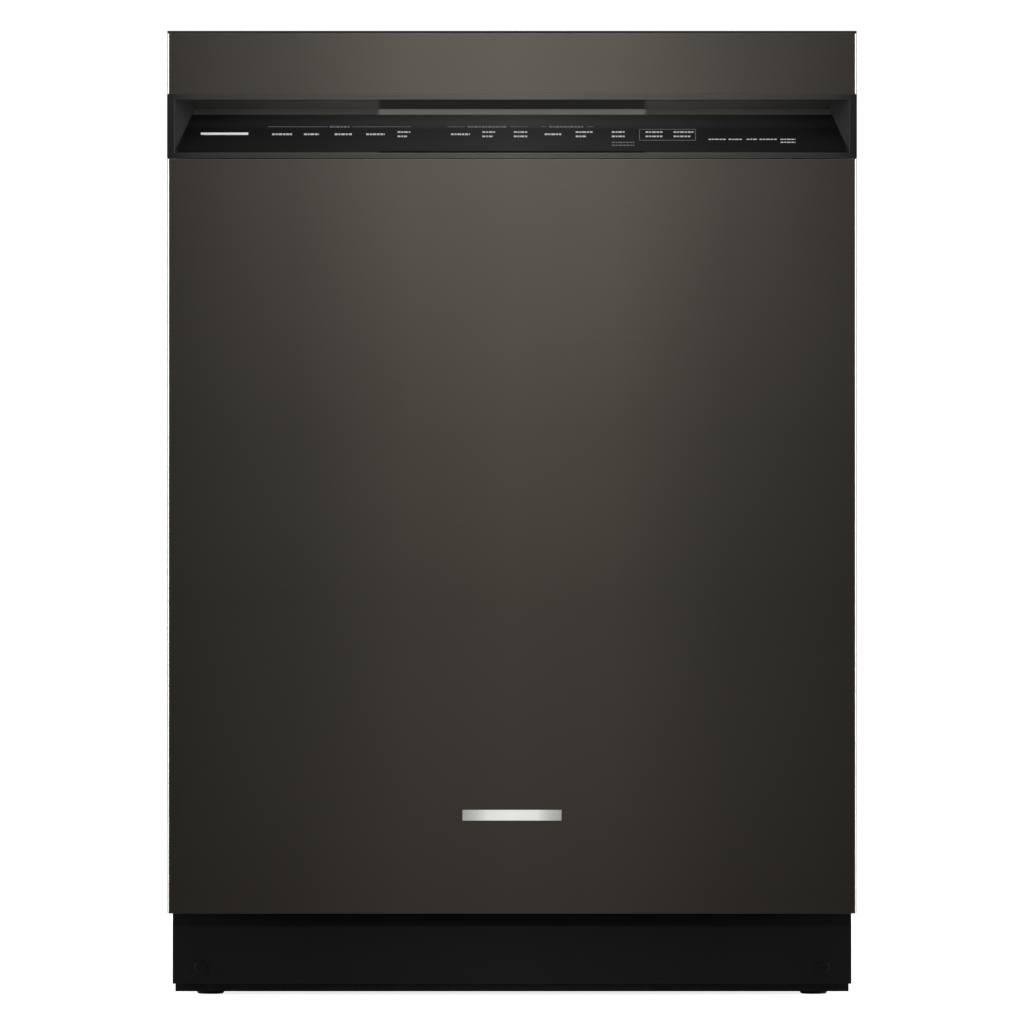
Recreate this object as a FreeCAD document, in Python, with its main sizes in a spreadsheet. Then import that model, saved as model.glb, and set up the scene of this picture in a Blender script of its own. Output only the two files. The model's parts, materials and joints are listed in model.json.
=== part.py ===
import FreeCAD, Part
import math
import os
import re

import Sketcher
from FreeCAD import Placement, Rotation, Vector

# Built-in dishwasher, 24 inch class, millimetres.
# X runs to the right, Y to the rear, Z up. The origin is on the floor, under the middle of the machine.
# The door is closed, both racks are in, and the levelling legs are screwed all the way in.

DIMS = {
    # overall envelope
    "half_wide": 303.2,
    "front": -310.4,
    "badge_front": -311,
    "rear": 311,
    "top": 851,
    # sheet, wire and fit sizes
    "skin": 1,
    "fit": 0.3,
    "run_fit": 0.06,
    # door: outer panels
    "door_low": 75,
    "door_seam": 738.3,
    "panel_low": 795.5,
    "panel_top": 848.6,
    "return_back": -293,
    "edge_round": 3,
    # door: console and finger slot
    "console_low": 739,
    "console_top": 795.2,
    "console_front": -309.9,
    "console_back": -268,
    "lip_low": 743.6,
    "lip_top": 790.6,
    "fascia_back": -285,
    "fascia_top": 778.3,
    "fascia_thick": 2,
    "ledge_top": 783.6,
    "ledge_back": -276,
    "mouth_half": 297,
    "throat_half": 281,
    "slot_half": 118,
    "slot_front": -304,
    "pocket_top": 824,
    "pocket_wall": 2,
    # door: inner pan
    "pan_half": 284,
    "pan_low": 114,
    "pan_top": 838,
    "pan_front": -292,
    "pan_face": -256,
    "dish_half": 262,
    "dish_low": 150,
    "dish_top": 812,
    "dish_deep": 7.2,
    # hinge
    "hinge_back": -279,
    "hinge_up": 105,
    "pin_radius": 5,
    "bracket_in": 286.5,
    "bracket_out": 290.5,
    "arm_in": 292,
    "arm_out": 296,
    "link_up": 150,
    # tub
    "tub_half": 272,
    "tub_low": 128,
    "tub_top": 830,
    "tub_front": -240,
    "tub_back": 296,
    "tub_skin": 1.2,
    "frame_half": 298,
    "frame_front": -254,
    "frame_low": 112,
    "frame_top": 847,
    "floor_low": 117,
    "felt_out": 286,
    "felt_top": 845,
    # base
    "rail_in": 284,
    "base_front": -236,
    "base_low": 30,
    "beam_wide": 40,
    "beam_low": 32,
    "beam_top": 62,
    "toe_half": 300.7,
    "toe_front": -246,
    "toe_low": 10,
    "toe_top": 61.3,
    "toe_skin": 1.2,
    "apron_half": 298.5,
    "apron_front": -240,
    "apron_low": 3,
    "apron_top": 94,
    "leg_across": 268,
    "leg_front": -216,
    "leg_rear": 291,
    "stem_radius": 6,
    "foot_radius": 12,
    # wash system
    "arm_centre": 30,
    "arm_reach": 215,
    "mid_reach": 190,
    "filter_centre": -70,
    "filter_radius": 38,
    "spigot_radius": 8,
    "tube_back": 280,
    "tube_radius": 10,
    # racks
    "wire": 2.5,
    "rack_front": -225,
    "rack_back": 235,
    "upper_half": 243,
    "upper_low": 515,
    "upper_top": 650,
    "lower_half": 250,
    "lower_low": 157.5,
    "lower_top": 370,
    "rail_low": 540,
    "rail_top": 564,
    "slide_front": -232,
    "slide_back": 238,
    "wheel_radius": 14,
    "wheel_low": 128.3,
}

doc = FreeCAD.newDocument("dishwasher")
sheet = doc.addObject("Spreadsheet::Sheet", "dims")
for row, (alias, number) in enumerate(DIMS.items(), start=1):
    sheet.set(f"A{row}", alias)
    sheet.set(f"B{row}", str(number))
    sheet.setAlias(f"B{row}", alias)
doc.recompute()

NODES = []


def cells(text):
    """Expression text in which every alias is a cell of the sheet."""
    return re.sub(r"[a-z_]+", lambda word: f"dims.{word[0]}" if word[0] in DIMS else word[0], str(text))


def number(text):
    """What an expression of aliases comes to, in millimetres."""
    return float(sheet.evalExpression(cells(text)))


def node(label, obj):
    """Names the object that is one finished sub-part."""
    obj.Label = label
    NODES.append(obj)
    return obj


def box(name, across, along, up):
    """A box from three (low, high) pairs of expressions."""
    obj = doc.addObject("Part::Box", name)
    for side, letter, (low, high) in zip(("Length", "Width", "Height"), "xyz", (across, along, up)):
        obj.setExpression(side, cells(f"({high}) - ({low})"))
        obj.setExpression(f"Placement.Base.{letter}", cells(low))
    return obj


TURNS = {
    "x": Rotation(Vector(0, 1, 0), 90),
    "y": Rotation(Vector(1, 0, 0), -90),
    "z": Rotation(),
}


def rod(name, axis, centre, radius, span):
    """A cylinder along x, y or z: centre holds the other two coordinates, in X, Y, Z order."""
    obj = doc.addObject("Part::Cylinder", name)
    obj.Placement = Placement(Vector(), TURNS[axis])
    low, high = span
    places = list(centre)
    places.insert("xyz".index(axis), low)
    for letter, place in zip("xyz", places):
        obj.setExpression(f"Placement.Base.{letter}", cells(place))
    obj.setExpression("Radius", cells(radius))
    obj.setExpression("Height", cells(f"({high}) - ({low})"))
    return obj


def fuse(name, *pieces):
    obj = doc.addObject("Part::MultiFuse", name)
    obj.Shapes = list(pieces)
    return obj


def cut(name, base, *tools):
    obj = doc.addObject("Part::Cut", name)
    obj.Base = base
    obj.Tool = tools[0] if len(tools) == 1 else fuse(name + "_tools", *tools)
    return obj


def common(name, first, second):
    obj = doc.addObject("Part::Common", name)
    obj.Base = first
    obj.Tool = second
    return obj


def group(name, *pieces):
    """Separate solids that make one node."""
    obj = doc.addObject("Part::Compound", name)
    obj.Links = list(pieces)
    return obj


def mirrored(name, source):
    """The same piece on the other side of the machine."""
    obj = doc.addObject("Part::Mirroring", name)
    obj.Source = source
    obj.Normal = Vector(1, 0, 0)
    return obj


def pair(name, right_piece):
    """A right-hand piece and its left-hand twin."""
    return group(name, right_piece, mirrored(name + "_twin", right_piece))


PLANES = {"YZ": ("YZ_Plane", 1), "XZ": ("XZ_Plane", -1), "XY": ("XY_Plane", 1)}


def attach(body, sketch_name, plane, offset):
    """A sketch on one of the body's own origin planes, moved along the plane's normal."""
    role, sign = PLANES[plane]
    sketch = body.newObject("Sketcher::SketchObject", sketch_name)
    plane_object = next(item for item in body.Origin.OriginFeatures if item.Role == role)
    sketch.AttachmentSupport = [(plane_object, "")]
    sketch.MapMode = "FlatFace"
    sketch.setExpression("AttachmentOffset.Base.z", cells(f"({offset}) * {sign}"))
    return sketch


def polygon(sketch, points):
    """A closed outline whose corners are held at expressions of the sheet."""
    corners = [Vector(number(first), number(second), 0) for first, second in points]
    count = len(points)
    for index in range(count):
        sketch.addGeometry(Part.LineSegment(corners[index], corners[(index + 1) % count]), False)
    for index in range(count):
        sketch.addConstraint(Sketcher.Constraint("Coincident", index, 2, (index + 1) % count, 1))
    for index, pair_of_texts in enumerate(points):
        for kind, letter, text in zip(("DistanceX", "DistanceY"), "xy", pair_of_texts):
            place = sketch.addConstraint(Sketcher.Constraint(kind, -1, 1, index, 1, number(text)))
            sketch.renameConstraint(place, f"{letter}_{index}")
            sketch.setExpression(f"Constraints.{letter}_{index}", cells(text))


def slab(name, plane, points, low, high):
    """A PartDesign body: an outline on a plane, padded from low to high along the third axis."""
    body = doc.addObject("PartDesign::Body", name)
    start = high if plane == "XZ" else low
    sketch = attach(body, name + "_sketch", plane, start)
    polygon(sketch, points)
    pad = body.newObject("PartDesign::Pad", name + "_pad")
    pad.Profile = sketch
    pad.setExpression("Length", cells(f"({high}) - ({low})"))
    return body


def turned(name, points, across, along):
    """A PartDesign body: an outline of radius and height, revolved about a vertical axis."""
    body = doc.addObject("PartDesign::Body", name)
    sketch = attach(body, name + "_sketch", "XZ", 0)
    polygon(sketch, points)
    revolution = body.newObject("PartDesign::Revolution", name + "_turn")
    revolution.Profile = sketch
    revolution.ReferenceAxis = (sketch, ["V_Axis"])
    revolution.Angle = 360
    body.setExpression("Placement.Base.x", cells(across))
    body.setExpression("Placement.Base.y", cells(along))
    return body


def rounded(name, base, radius, wanted):
    """A Part::Fillet on the edges of base that the test picks out."""
    doc.recompute()
    obj = doc.addObject("Part::Fillet", name)
    obj.Base = base
    size = number(radius)
    edges = enumerate(base.Shape.Edges, start=1)
    obj.Edges = [(index, size, size) for index, edge in edges if wanted(edge)]
    return obj


def solid_feature(name, solids):
    """A Part::Feature that holds solids made from the sheet's sizes."""
    obj = doc.addObject("Part::Feature", name)
    obj.Shape = Part.makeCompound(solids)
    return obj


def upright_front_edge(edge):
    """True for the two vertical edges along a panel's front face."""
    low, high = (vertex.Point for vertex in edge.Vertexes[:2])
    upright = abs(low.x - high.x) < 0.01 and abs(low.y - high.y) < 0.01
    return upright and low.y < sheet.front + 0.01


# ---------------------------------------------------------------- tub

def build_tub():
    """The stainless tub, its front frame and gasket, and the felt around it."""
    shell = box("wrapper_out", ("-tub_half - tub_skin", "tub_half + tub_skin"), ("tub_front", "tub_back + 2"),
                ("tub_low", "tub_top + tub_skin"))
    hollow = box("wrapper_in", ("-tub_half", "tub_half"), ("tub_front - 1", "tub_back + 3"),
                 ("tub_low - 1", "tub_top"))
    node("tub_wrapper", cut("tub_wrapper", shell, hollow))
    node("tub_back_panel", box("tub_back_panel", ("-tub_half", "tub_half"), ("tub_back", "tub_back + tub_skin"),
                               ("tub_low", "tub_top")))

    block = box("floor_block", ("-tub_half", "tub_half"), ("tub_front", "tub_back + 2"), ("frame_low", "tub_low"))
    flange = box("floor_flange", ("-frame_half", "frame_half"), ("tub_front + 1", "tub_back + 4"),
                 ("frame_low", "frame_low + 2"))
    basin = box("floor_basin", ("-250", "250"), ("-215", "272"), ("floor_low", "tub_low + 1"))
    drain = box("floor_drain", ("-90", "90"), ("-125", "80"), ("frame_low - 1", "floor_low + 1"))
    riser = rod("floor_riser", "z", ("0", "tube_back"), "tube_radius + fit", ("frame_low - 1", "tub_low + 1"))
    node("tub_floor_pan", cut("tub_floor_pan", fuse("floor_body", block, flange), basin, drain, riser))

    plate = box("frame_plate", ("-frame_half", "frame_half"), ("frame_front", "tub_front"),
                ("frame_low", "frame_top"))
    mouth = box("frame_mouth", ("-tub_half", "tub_half"), ("frame_front - 1", "tub_front + 1"),
                ("tub_low", "tub_top"))
    groove_out = box("groove_out", ("-283", "283"), ("frame_front - 1", "frame_front + 5"),
                     ("frame_low - 1", "837"))
    groove_in = box("groove_in", ("-275", "275"), ("frame_front - 2", "frame_front + 6"),
                    ("frame_low - 2", "831.2"))
    notch = box("link_notch", ("295.5", "frame_half + 1"), ("frame_front - 1", "tub_front + 1"),
                ("link_up - 6", "link_up + 6"))
    node("tub_front_frame", cut("tub_front_frame", plate, mouth, cut("groove", groove_out, groove_in), notch,
                                mirrored("link_notch_twin", notch)))

    bulb_out = box("bulb_out", ("-282.5", "282.5"), ("frame_front - 1.7", "frame_front + 5"), ("frame_low", "836.6"))
    bulb_in = box("bulb_in", ("-275.5", "275.5"), ("frame_front - 3", "frame_front + 6"),
                  ("frame_low - 1", "831.6"))
    node("tub_gasket", cut("tub_gasket", bulb_out, bulb_in))

    felt_out = box("felt_outside", ("-felt_out", "felt_out"), ("base_front", "rear - 1"), ("frame_low + 2.5", "felt_top"))
    felt_in = box("felt_inside", ("-tub_half - 2.2", "tub_half + 2.2"), ("base_front - 1", "tub_back + 2.5"),
                  ("frame_low", "tub_top + 1.8"))
    node("insulation_blanket", cut("insulation_blanket", felt_out, felt_in))

    node("strike_plate", box("strike_plate", ("-10", "10"), ("frame_front - 14", "frame_front"), ("840", "846")))
    tab = box("tab", ("185", "215"), ("-252", "-222"), ("frame_top", "frame_top + 1.5"))
    screw_hole = rod("tab_hole", "z", ("200", "-238"), "2.5", ("frame_top - 1", "frame_top + 3"))
    node("mounting_brackets", pair("mounting_brackets", cut("tab_drilled", tab, screw_hole)))


# ---------------------------------------------------------------- base

def leg_places():
    """Name and place of each levelling leg."""
    for depth_word, along in (("front", "leg_front"), ("rear", "leg_rear")):
        for side_word, across in (("left", "-leg_across"), ("right", "leg_across")):
            yield f"{depth_word}_{side_word}_leg", across, along


def beam(name, low_y):
    """A hollow cross beam with a threaded boss hole for each of its two legs."""
    outside = box(name + "_out", ("-rail_in + 0.5", "rail_in - 0.5"), (low_y, f"{low_y} + beam_wide"),
                  ("beam_low", "beam_top"))
    inside = box(name + "_in", ("-rail_in", "rail_in"), (f"{low_y} + 2", f"{low_y} + beam_wide - 2"),
                 ("beam_low + 2", "beam_top - 2"))
    return cut(name + "_tube", outside, inside)


def build_base():
    """Side rails, cross beams, toe panel, apron behind it and the four legs."""
    web = box("rail_web", ("rail_in", "frame_half"), ("base_front", "rear"), ("base_low", "frame_low"))
    throat = box("rail_throat", ("rail_in - 1", "frame_half - 1.6"), ("base_front - 1", "rear + 1"),
                 ("base_low + 2", "frame_low - 2"))
    node("base_side_rails", pair("base_side_rails", cut("rail", web, throat)))

    beams = []
    for name, low_y, along in (("front_beam", "base_front", "leg_front"), ("rear_beam", "rear - beam_wide", "leg_rear")):
        hole = rod(name + "_hole", "z", ("leg_across", along), "stem_radius + run_fit", ("beam_low - 1", "beam_top + 1"))
        beams.append(cut(name, beam(name, low_y), hole, mirrored(name + "_hole_twin", hole)))
    node("base_crossmembers", group("base_crossmembers", *beams))

    shoulder_back = "apron_front - fit - 2"
    shoulder_top = "toe_top + 11"
    outline = [
        ("toe_front", "toe_low"),
        ("toe_front", "toe_top"),
        (shoulder_back, shoulder_top),
        (f"{shoulder_back} + 2", shoulder_top),
        (f"{shoulder_back} + 2", f"{shoulder_top} - toe_skin"),
        (f"{shoulder_back} + 0.5", f"{shoulder_top} - toe_skin"),
        ("toe_front + toe_skin", "toe_top - 0.5"),
        ("toe_front + toe_skin", "toe_low"),
    ]
    toe = slab("toe_sheet", "YZ", outline, "-toe_half", "toe_half")
    toe_hole = rod("toe_hole", "y", ("276", "24.6"), "2.2", ("toe_front - 1", "apron_front + 2"))
    holes = pair("toe_holes", toe_hole)
    node("toe_panel", cut("toe_panel", toe, holes))

    apron = box("apron_sheet", ("-apron_half", "apron_half"), ("apron_front", "apron_front + toe_skin"),
                ("apron_low", "apron_top"))
    node("access_panel", cut("access_panel", apron, holes))

    head = rod("toe_screw_head", "y", ("276", "24.6"), "6", ("toe_front - 1.6", "toe_front"))
    shank = rod("toe_screw_shank", "y", ("276", "24.6"), "2", ("toe_front", "base_front - 0.5"))
    node("toe_panel_screws", pair("toe_panel_screws", fuse("toe_screw", head, shank)))

    for name, across, along in leg_places():
        outline = [
            ("0", "0"),
            ("foot_radius - 1.5", "0"),
            ("foot_radius", "1.5"),
            ("foot_radius", "7"),
            ("8", "9"),
            ("8", "20"),
            ("stem_radius", "20"),
            ("stem_radius", "100"),
            ("0", "100"),
        ]
        node(name, turned(name, outline, across, along))


# ---------------------------------------------------------------- hinges and springs

def build_hinges():
    """Fixed brackets with their pins, the door's hinge arms, and the counterbalance springs."""
    nose = rod("bracket_nose", "x", ("hinge_back", "hinge_up"), "8", ("bracket_in", "bracket_out"))
    neck = slab("bracket_neck", "YZ", [
        ("hinge_back", "hinge_up - 8"),
        ("-232", "hinge_up - 8"),
        ("-220", "45"),
        ("-150", "45"),
        ("-150", "frame_low - 3"),
        ("hinge_back", "frame_low - 3"),
    ], "bracket_in", "bracket_out")
    foot = box("bracket_foot", ("bracket_out", "frame_half - 1.6"), ("-200", "-180"), ("50", "100"))
    pin = rod("bracket_pin", "x", ("hinge_back", "hinge_up"), "pin_radius", ("bracket_out", "arm_out + 1"))
    node("hinge_brackets", pair("hinge_brackets", fuse("bracket", nose, neck, foot, pin)))

    eye = rod("arm_eye", "x", ("hinge_back", "hinge_up"), "11", ("arm_in", "arm_out"))
    strap = box("arm_strap", ("arm_in", "arm_out"), ("hinge_back - 10", "hinge_back + 10"), ("hinge_up", "420"))
    ears = box("arm_ears", ("pan_half", "arm_in"), ("hinge_back - 10", "hinge_back + 4"), ("380", "410"))
    eye_hole = rod("arm_eye_hole", "x", ("hinge_back", "hinge_up"), "pin_radius + run_fit",
                   ("arm_in - 1", "arm_out + 1"))
    node("hinge_arms", pair("hinge_arms", cut("arm", fuse("arm_body", eye, strap, ears), eye_hole)))

    link = box("link", ("arm_out + 0.4", "arm_out + 1.9"), ("hinge_back - 5", "-210"),
               ("link_up - 3", "link_up + 3"))
    node("spring_links", pair("spring_links", link))
    coil = rod("coil", "y", ("arm_out - 4.7", "link_up"), "4.5", ("-209.5", "-60"))
    hook = box("coil_anchor", ("arm_out - 6", "arm_out - 3"), ("-60", "-50"), ("frame_low + 2", "link_up + 3"))
    node("door_springs", pair("door_springs", fuse("spring", coil, hook)))


# ---------------------------------------------------------------- door

def build_outer_door():
    """Front panels with folded edges, the trim above them and the plain badge plate."""
    for name, low, high in (("door_outer_panel", "door_low", "door_seam"), ("door_top_panel", "panel_low", "panel_top")):
        block = box(name + "_block", ("-half_wide", "half_wide"), ("front", "return_back"), (low, high))
        soft = rounded(name + "_soft", block, "edge_round", upright_front_edge)
        hollow = box(name + "_hollow", ("-half_wide + skin", "half_wide - skin"), ("front + skin", "return_back + 1"),
                     (f"{low} + skin", f"{high} - skin"))
        tools = [hollow]
        if name == "door_top_panel":
            tools.append(box("top_panel_notch", ("-slot_half - 4", "slot_half + 4"),
                             ("slot_front - 3.5", "return_back + 1"), (f"{low} - 1", f"{low} + 2")))
        node(name, cut(name, soft, *tools))

    cap = box("trim_cap", ("-half_wide + 0.2", "half_wide - 0.2"), ("front + 0.4", "pan_face - 1"),
              ("panel_top + 0.2", "top"))
    body = box("trim_body", ("-300", "300"), ("return_back + 2", "pan_face - 2"), ("pan_top + 0.4", "panel_top + 0.2"))
    bay = box("trim_bay", ("-33", "33"), ("return_back + 1", "pan_face"), ("pan_top", "panel_top + 0.2"))
    node("door_top_trim", fuse("door_top_trim", cap, cut("trim_body_bay", body, bay)))
    node("badge_plate", box("badge_plate", ("-43.5", "43.5"), ("badge_front", "front"), ("156.8", "166.2")))


def fascia_line(shift):
    """The sloping face of the controls, its lower and upper points pushed back by shift."""
    return [
        (f"console_front + 0.7 + {shift}", "lip_low + 1.6"),
        (f"fascia_back + {shift}", "fascia_top"),
    ]


def build_console():
    """Console frame with the drafted recess, the sloping fascia and the finger pocket."""
    block = box("console_block", ("-half_wide", "half_wide"), ("console_front", "console_back"),
                ("console_low", "console_top"))
    lower, upper = fascia_line("fascia_thick")
    recess_side = slab("recess_side", "YZ", [
        ("console_front - 1", "lip_low"),
        ("console_front + 0.7", "lip_low"),
        lower,
        upper,
        ("ledge_back", "ledge_top"),
        ("ledge_back", "lip_top"),
        ("console_front - 1", "lip_top"),
    ], "-half_wide", "half_wide")
    recess_plan = slab("recess_plan", "XY", [
        ("-mouth_half - 0.5", "console_front - 1"),
        ("mouth_half + 0.5", "console_front - 1"),
        ("throat_half", "fascia_back + fascia_thick"),
        ("throat_half", "console_back"),
        ("-throat_half", "console_back"),
        ("-throat_half", "fascia_back + fascia_thick"),
    ], "console_low", "console_top")
    recess = common("recess", recess_side, recess_plan)
    slot = box("finger_slot", ("-slot_half", "slot_half"), ("slot_front", "ledge_back"), ("ledge_top", "console_top + 1"))
    node("console_housing", cut("console_housing", block, recess, slot))

    face_low, face_top = fascia_line("0")
    back_low, back_top = fascia_line("fascia_thick - 0.1")
    fascia_side = slab("fascia_side", "YZ", [
        ("console_front + 0.7", "lip_low + 0.3"),
        face_low,
        face_top,
        back_top,
        back_low,
    ], "-half_wide", "half_wide")
    fascia_plan = slab("fascia_plan", "XY", [
        ("-mouth_half + 2", "console_front"),
        ("mouth_half - 2", "console_front"),
        ("throat_half - 0.3", "fascia_back + fascia_thick"),
        ("-throat_half + 0.3", "fascia_back + fascia_thick"),
    ], "console_low", "console_top")
    node("control_fascia", common("control_fascia", fascia_side, fascia_plan))

    liner = box("liner_out", ("-slot_half - 3", "slot_half + 3"), ("slot_front - 3", "ledge_back + 3"),
                ("console_top", "pocket_top + pocket_wall"))
    cavity = box("liner_in", ("-slot_half - 1", "slot_half + 1"), ("slot_front - 1", "ledge_back + 1"),
                 ("console_top - 1", "pocket_top"))
    node("handle_pocket", cut("handle_pocket", liner, cavity))


def build_inner_door():
    """Inner pan, its felt, the electronics, latch, dispenser, vent, seal and screws."""
    tray = box("pan_out", ("-pan_half", "pan_half"), ("pan_front", "pan_face"), ("pan_low", "pan_top"))
    inside = box("pan_in", ("-pan_half + tub_skin", "pan_half - tub_skin"), ("pan_front - 1", "pan_face - tub_skin"),
                 ("pan_low + tub_skin", "pan_top - tub_skin"))
    dish = box("dish_out", ("-dish_half", "dish_half"), ("pan_face - dish_deep - tub_skin", "pan_face"),
               ("dish_low", "dish_top"))
    dish_hollow = box("dish_in", ("-dish_half + tub_skin", "dish_half - tub_skin"),
                      ("pan_face - dish_deep", "pan_face + 1"), ("dish_low + tub_skin", "dish_top - tub_skin"))
    window = box("dispenser_window", ("-70", "70"), ("pan_front", "pan_face + 1"), ("390", "510"))
    vent_hole = rod("vent_hole", "y", ("180", "620"), "30", ("pan_front", "pan_face + 1"))
    screw_holes = [rod(f"pan_screw_hole_{up}", "x", ("-286", up), "2.2", ("-pan_half - 1", "pan_half + 1"))
                   for up in (180, 340, 500, 660, 820)]
    pan = cut("pan_sheet", tray, cut("pan_cavity", inside, dish))
    console_notch = box("console_notch", ("-pan_half - 1", "pan_half + 1"), ("pan_front - 1", "console_back + fit"),
                        ("console_low - fit", "console_top + fit"))
    node("door_inner_panel", cut("door_inner_panel", pan, dish_hollow, window, vent_hole, console_notch, *screw_holes))

    node("door_insulation", box("door_insulation", ("-280", "280"), ("front + 1.2", "pan_front - 4"), ("90", "730")))
    node("control_module", box("control_module", ("-250", "-90"), ("pan_front + 2", "pan_face - 10"), ("675", "732")))
    node("door_bottom_seal", box("door_bottom_seal", ("-248", "248"), ("pan_face", "pan_face + 1.6"), ("116", "124")))

    latch = box("latch_box", ("-32", "32"), ("return_back + 3", "pan_face - 1"), ("pan_top + 0.2", "panel_top"))
    latch_slot = box("latch_slot", ("-13", "13"), ("-275", "pan_face"), ("839.2", "847.4"))
    node("door_latch", cut("door_latch", latch, latch_slot))

    flange = box("dispenser_flange", ("-80", "80"), ("pan_face - dish_deep", "pan_face"), ("380", "520"))
    bowl = box("dispenser_bowl", ("-69", "69"), ("-290", "pan_face - dish_deep"), ("391", "509"))
    cup = box("detergent_cup", ("-60", "20"), ("-285", "pan_face + 1"), ("402", "458"))
    node("detergent_dispenser", cut("detergent_dispenser", fuse("dispenser_body", flange, bowl), cup))
    flap = box("lid_flap", ("-64", "24"), ("pan_face + 0.3", "pan_face + 3.1"), ("400", "462"))
    barrel = rod("lid_barrel", "x", ("pan_face + 1.7", "400"), "1.4", ("-64", "24"))
    node("detergent_lid", fuse("detergent_lid", flap, barrel))
    cap = rod("cap_disc", "y", ("50", "487"), "16", ("pan_face + 0.3", "pan_face + 3"))
    grip = box("cap_grip", ("47.5", "52.5"), ("pan_face + 3", "pan_face + 7"), ("473", "501"))
    node("rinse_aid_cap", fuse("rinse_aid_cap", cap, grip))

    rim = rod("vent_rim", "y", ("180", "620"), "36", ("pan_face - dish_deep", "pan_face - 2"))
    neck = rod("vent_neck", "y", ("180", "620"), "29.7", ("-290", "pan_face - dish_deep"))
    node("door_vent", fuse("door_vent", rim, neck))

    screws = []
    for up in (180, 340, 500, 660, 820):
        head = rod(f"pan_screw_head_{up}", "x", ("-286", up), "3.8", ("pan_half", "pan_half + 1.8"))
        shank = rod(f"pan_screw_shank_{up}", "x", ("-286", up), "2", ("pan_half - 8", "pan_half"))
        screw = fuse(f"pan_screw_{up}", head, shank)
        screws += [screw, mirrored(f"pan_screw_twin_{up}", screw)]
    node("door_screws", group("door_screws", *screws))


# ---------------------------------------------------------------- wash system

def spray_arm(name, along, low, high, reach, spigot_from):
    """A hollow-looking tapered arm on a round hub, bored for the spigot it spins on."""
    hub = rod(name + "_hub", "z", ("0", along), "26", (low, high))
    blade = slab(name + "_blade", "XY", [
        (f"-{reach}", f"{along} - 14"),
        ("0", f"{along} - 24"),
        (reach, f"{along} - 14"),
        (reach, f"{along} + 14"),
        ("0", f"{along} + 24"),
        (f"-{reach}", f"{along} + 14"),
    ], f"{low} + 2", f"{high} - 2")
    bore_low, bore_high = spigot_from
    bore = rod(name + "_bore", "z", ("0", along), "spigot_radius + run_fit", (bore_low, bore_high))
    return cut(name, fuse(name + "_body", hub, blade), bore)


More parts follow.
